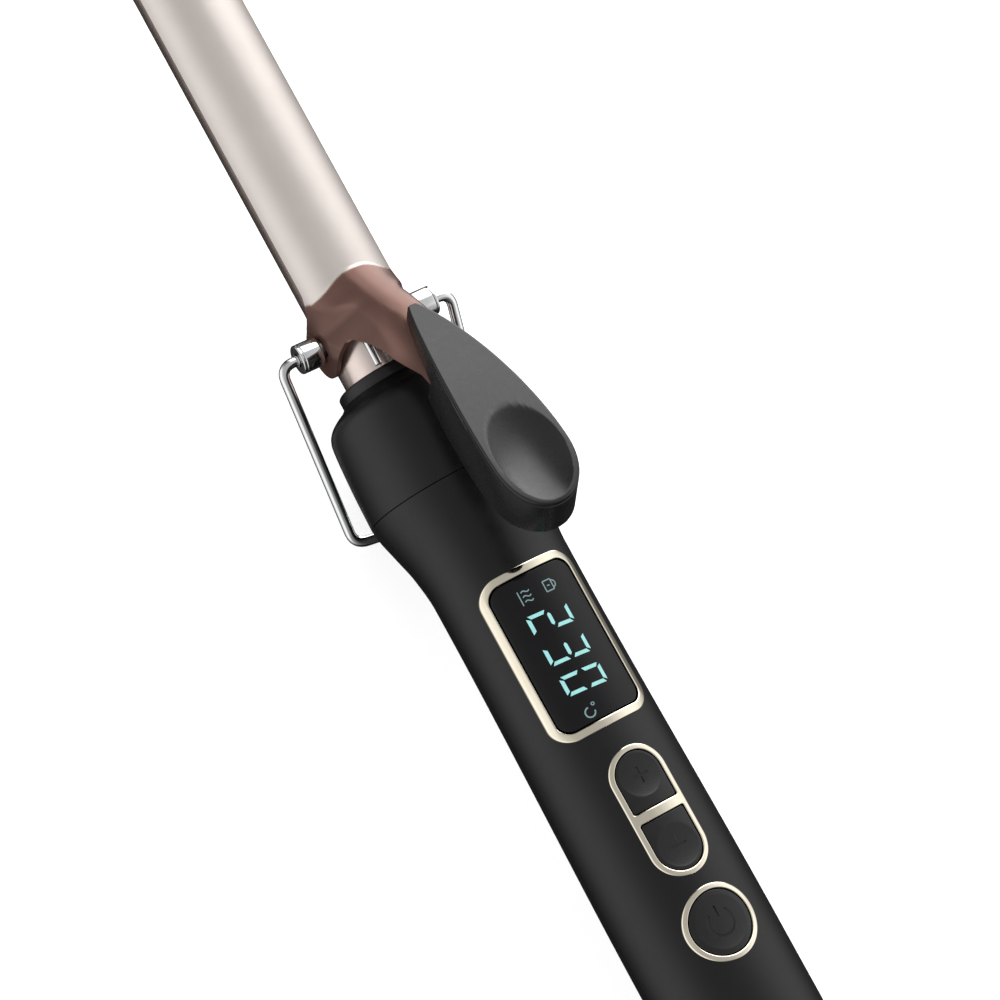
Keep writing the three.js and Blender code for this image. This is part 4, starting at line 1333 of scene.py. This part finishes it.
# ---- studio ----
def studio():
    size = 6.0
    corners = [(-size, -size, 0), (size, -size, 0), (size, size, 0), (-size, size, 0)]
    mesh = bpy.data.meshes.new("floor")
    mesh.from_pydata(corners, [], [(0, 1, 2, 3)])
    floor = added("floor", mesh)
    paint = surface("floor_paint", ((0.88, 0.88, 0.88), (0.90, 0.90, 0.90)), (0.8, 0.9), colour_scale=3)
    shader = paint.node_tree.nodes["Principled BSDF"]
    dial(shader, Emission_Color=(1, 1, 1, 1), Emission_Strength=0.75)
    mesh.materials.append(paint)
    floor.visible_glossy = False
    floor.visible_diffuse = False
    studio_light()


# degrees round the iron and shares along it, each with its level of light
BRIGHTEST = 4.0
LIGHT_LEAN = 15
LIGHT_ROUND = [
    (0, 0.42), (20, 0.44), (35, 0.58), (45, 0.76), (55, 0.95), (65, 1.1), (77, 1.16), (88, 1.08),
    (97, 0.92), (109, 0.6), (123, 0.2), (142, 0.04), (180, 0.02),
]
LIGHT_ALONG = [(0, 1.0), (0.6, 1.0), (0.85, 0.45), (1.0, 0.2)]
# a soft box beyond the tip on the iron's right: its level, how it sets in along x, and how it
# fades either side of its own angle round the iron
KEY_LEVEL = 2.7
KEY_ALONG = [(0, 0.0), (0.31, 0.0), (0.47, 1.0), (0.85, 1.0), (1.0, 0.5)]
KEY_ANGLE = -76
KEY_ROUND = [(0, 1.0), (44, 1.0), (74, 0.0), (180, 0.0)]


def studio_light():
    """Two broad soft panels along the iron's sides, dimmer overhead, dark beyond its ends."""
    world = bpy.data.worlds.new("studio")
    world.use_nodes = True
    bpy.context.scene.world = world
    tree = world.node_tree
    tree.nodes.clear()
    link = tree.links.new

    def maths(operation, a, b=None):
        node = node_in(tree, "Math")
        node.operation = operation
        for socket, value in zip(node.inputs, (a, b)):
            if value is None:
                continue
            if isinstance(value, (int, float)):
                socket.default_value = value
            else:
                link(value, socket)
        return node.outputs[0]

    def curve(source, points, low, high):
        """Value at a number between low and high, eased from point to point."""
        share = maths("DIVIDE", maths("SUBTRACT", source, low), high - low)
        node = node_in(tree, "ValToRGB")
        stops = node.color_ramp.elements
        while len(stops) < len(points):
            stops.new(0.5)
        for stop, (at, value) in zip(stops, points):
            stop.position = (at - low) / (high - low)
            stop.color = (*[value / BRIGHTEST] * 3, 1)
        node.color_ramp.interpolation = "EASE"
        link(share, node.inputs["Fac"])
        return maths("MULTIPLY", node.outputs["Color"], BRIGHTEST)

    where = node_in(tree, "TexCoord")
    split = node_in(tree, "SeparateXYZ")
    link(where.outputs["Generated"], split.inputs[0])
    x, y, z = split.outputs

    def round_iron(lean, levels):
        """Level by the angle round the iron, either side of a lean from the top."""
        angle = maths("SUBTRACT", maths("ARCTAN2", y, z), radians(lean))
        return curve(maths("ABSOLUTE", angle), [(radians(a), v) for a, v in levels], 0, pi)

    side = round_iron(LIGHT_LEAN, LIGHT_ROUND)
    ends = curve(maths("ABSOLUTE", x), LIGHT_ALONG, 0, 1)
    key_light = maths("MULTIPLY", round_iron(KEY_ANGLE, KEY_ROUND), curve(x, KEY_ALONG, 0, 1))
    level = maths("ADD", maths("MULTIPLY", side, ends), maths("MULTIPLY", key_light, KEY_LEVEL))
    light = node_in(tree, "Background")
    dial(light, Color=(1, 1, 1, 1))
    link(level, light.inputs["Strength"])
    backdrop = node_in(tree, "Background")
    dial(backdrop, Color=(1, 1, 1, 1), Strength=1.0)
    path = node_in(tree, "LightPath")
    mix = node_in(tree, "MixShader")
    link(path.outputs["Is Camera Ray"], mix.inputs[0])
    link(light.outputs[0], mix.inputs[1])
    link(backdrop.outputs[0], mix.inputs[2])
    output = node_in(tree, "OutputWorld")
    link(mix.outputs[0], output.inputs["Surface"])
    bpy.context.scene.view_settings.view_transform = "Standard"


VIEW_ROLL, VIEW_TILT, VIEW_SPIN = radians(21), radians(7.5), radians(28.8)
VIEW_X = -43.8
VIEW_ACROSS = 7.24
VIEW_DISTANCE = 576
FOCAL_LENGTH = 103.14
SENSOR = 36


def camera():
    """The viewer stands off the iron's left, a little behind, with the tip up and to the left."""
    level = cos(VIEW_TILT)
    towards = Vector((
        -sin(VIEW_TILT), level * sin(VIEW_ROLL), level * cos(VIEW_ROLL),
    ))
    along = (Vector((1, 0, 0)) - towards * towards.x).normalized()
    across = along.cross(towards)
    eye = Vector((VIEW_X, 0, 0)) + across * VIEW_ACROSS + towards * VIEW_DISTANCE
    right = across * cos(VIEW_SPIN) - along * sin(VIEW_SPIN)
    up = across * sin(VIEW_SPIN) + along * cos(VIEW_SPIN)
    view = bpy.data.cameras.new("view")
    view.lens = FOCAL_LENGTH
    view.sensor_width = SENSOR
    view.clip_start = 0.01
    thing = added("view", view)
    origin = place(*eye)
    rows = [(right[i], up[i], towards[i], origin[i]) for i in range(3)]
    thing.matrix_world = Matrix((*rows, (0, 0, 0, 1)))
    bpy.context.scene.camera = thing


finish_cad_nodes()
barrel()
cool_tip()
collar()
shells()
trims()
lens()
keys()
readout()
sleeves()
stand()
spring()
clip()
lever()
gland()
studio()
camera()
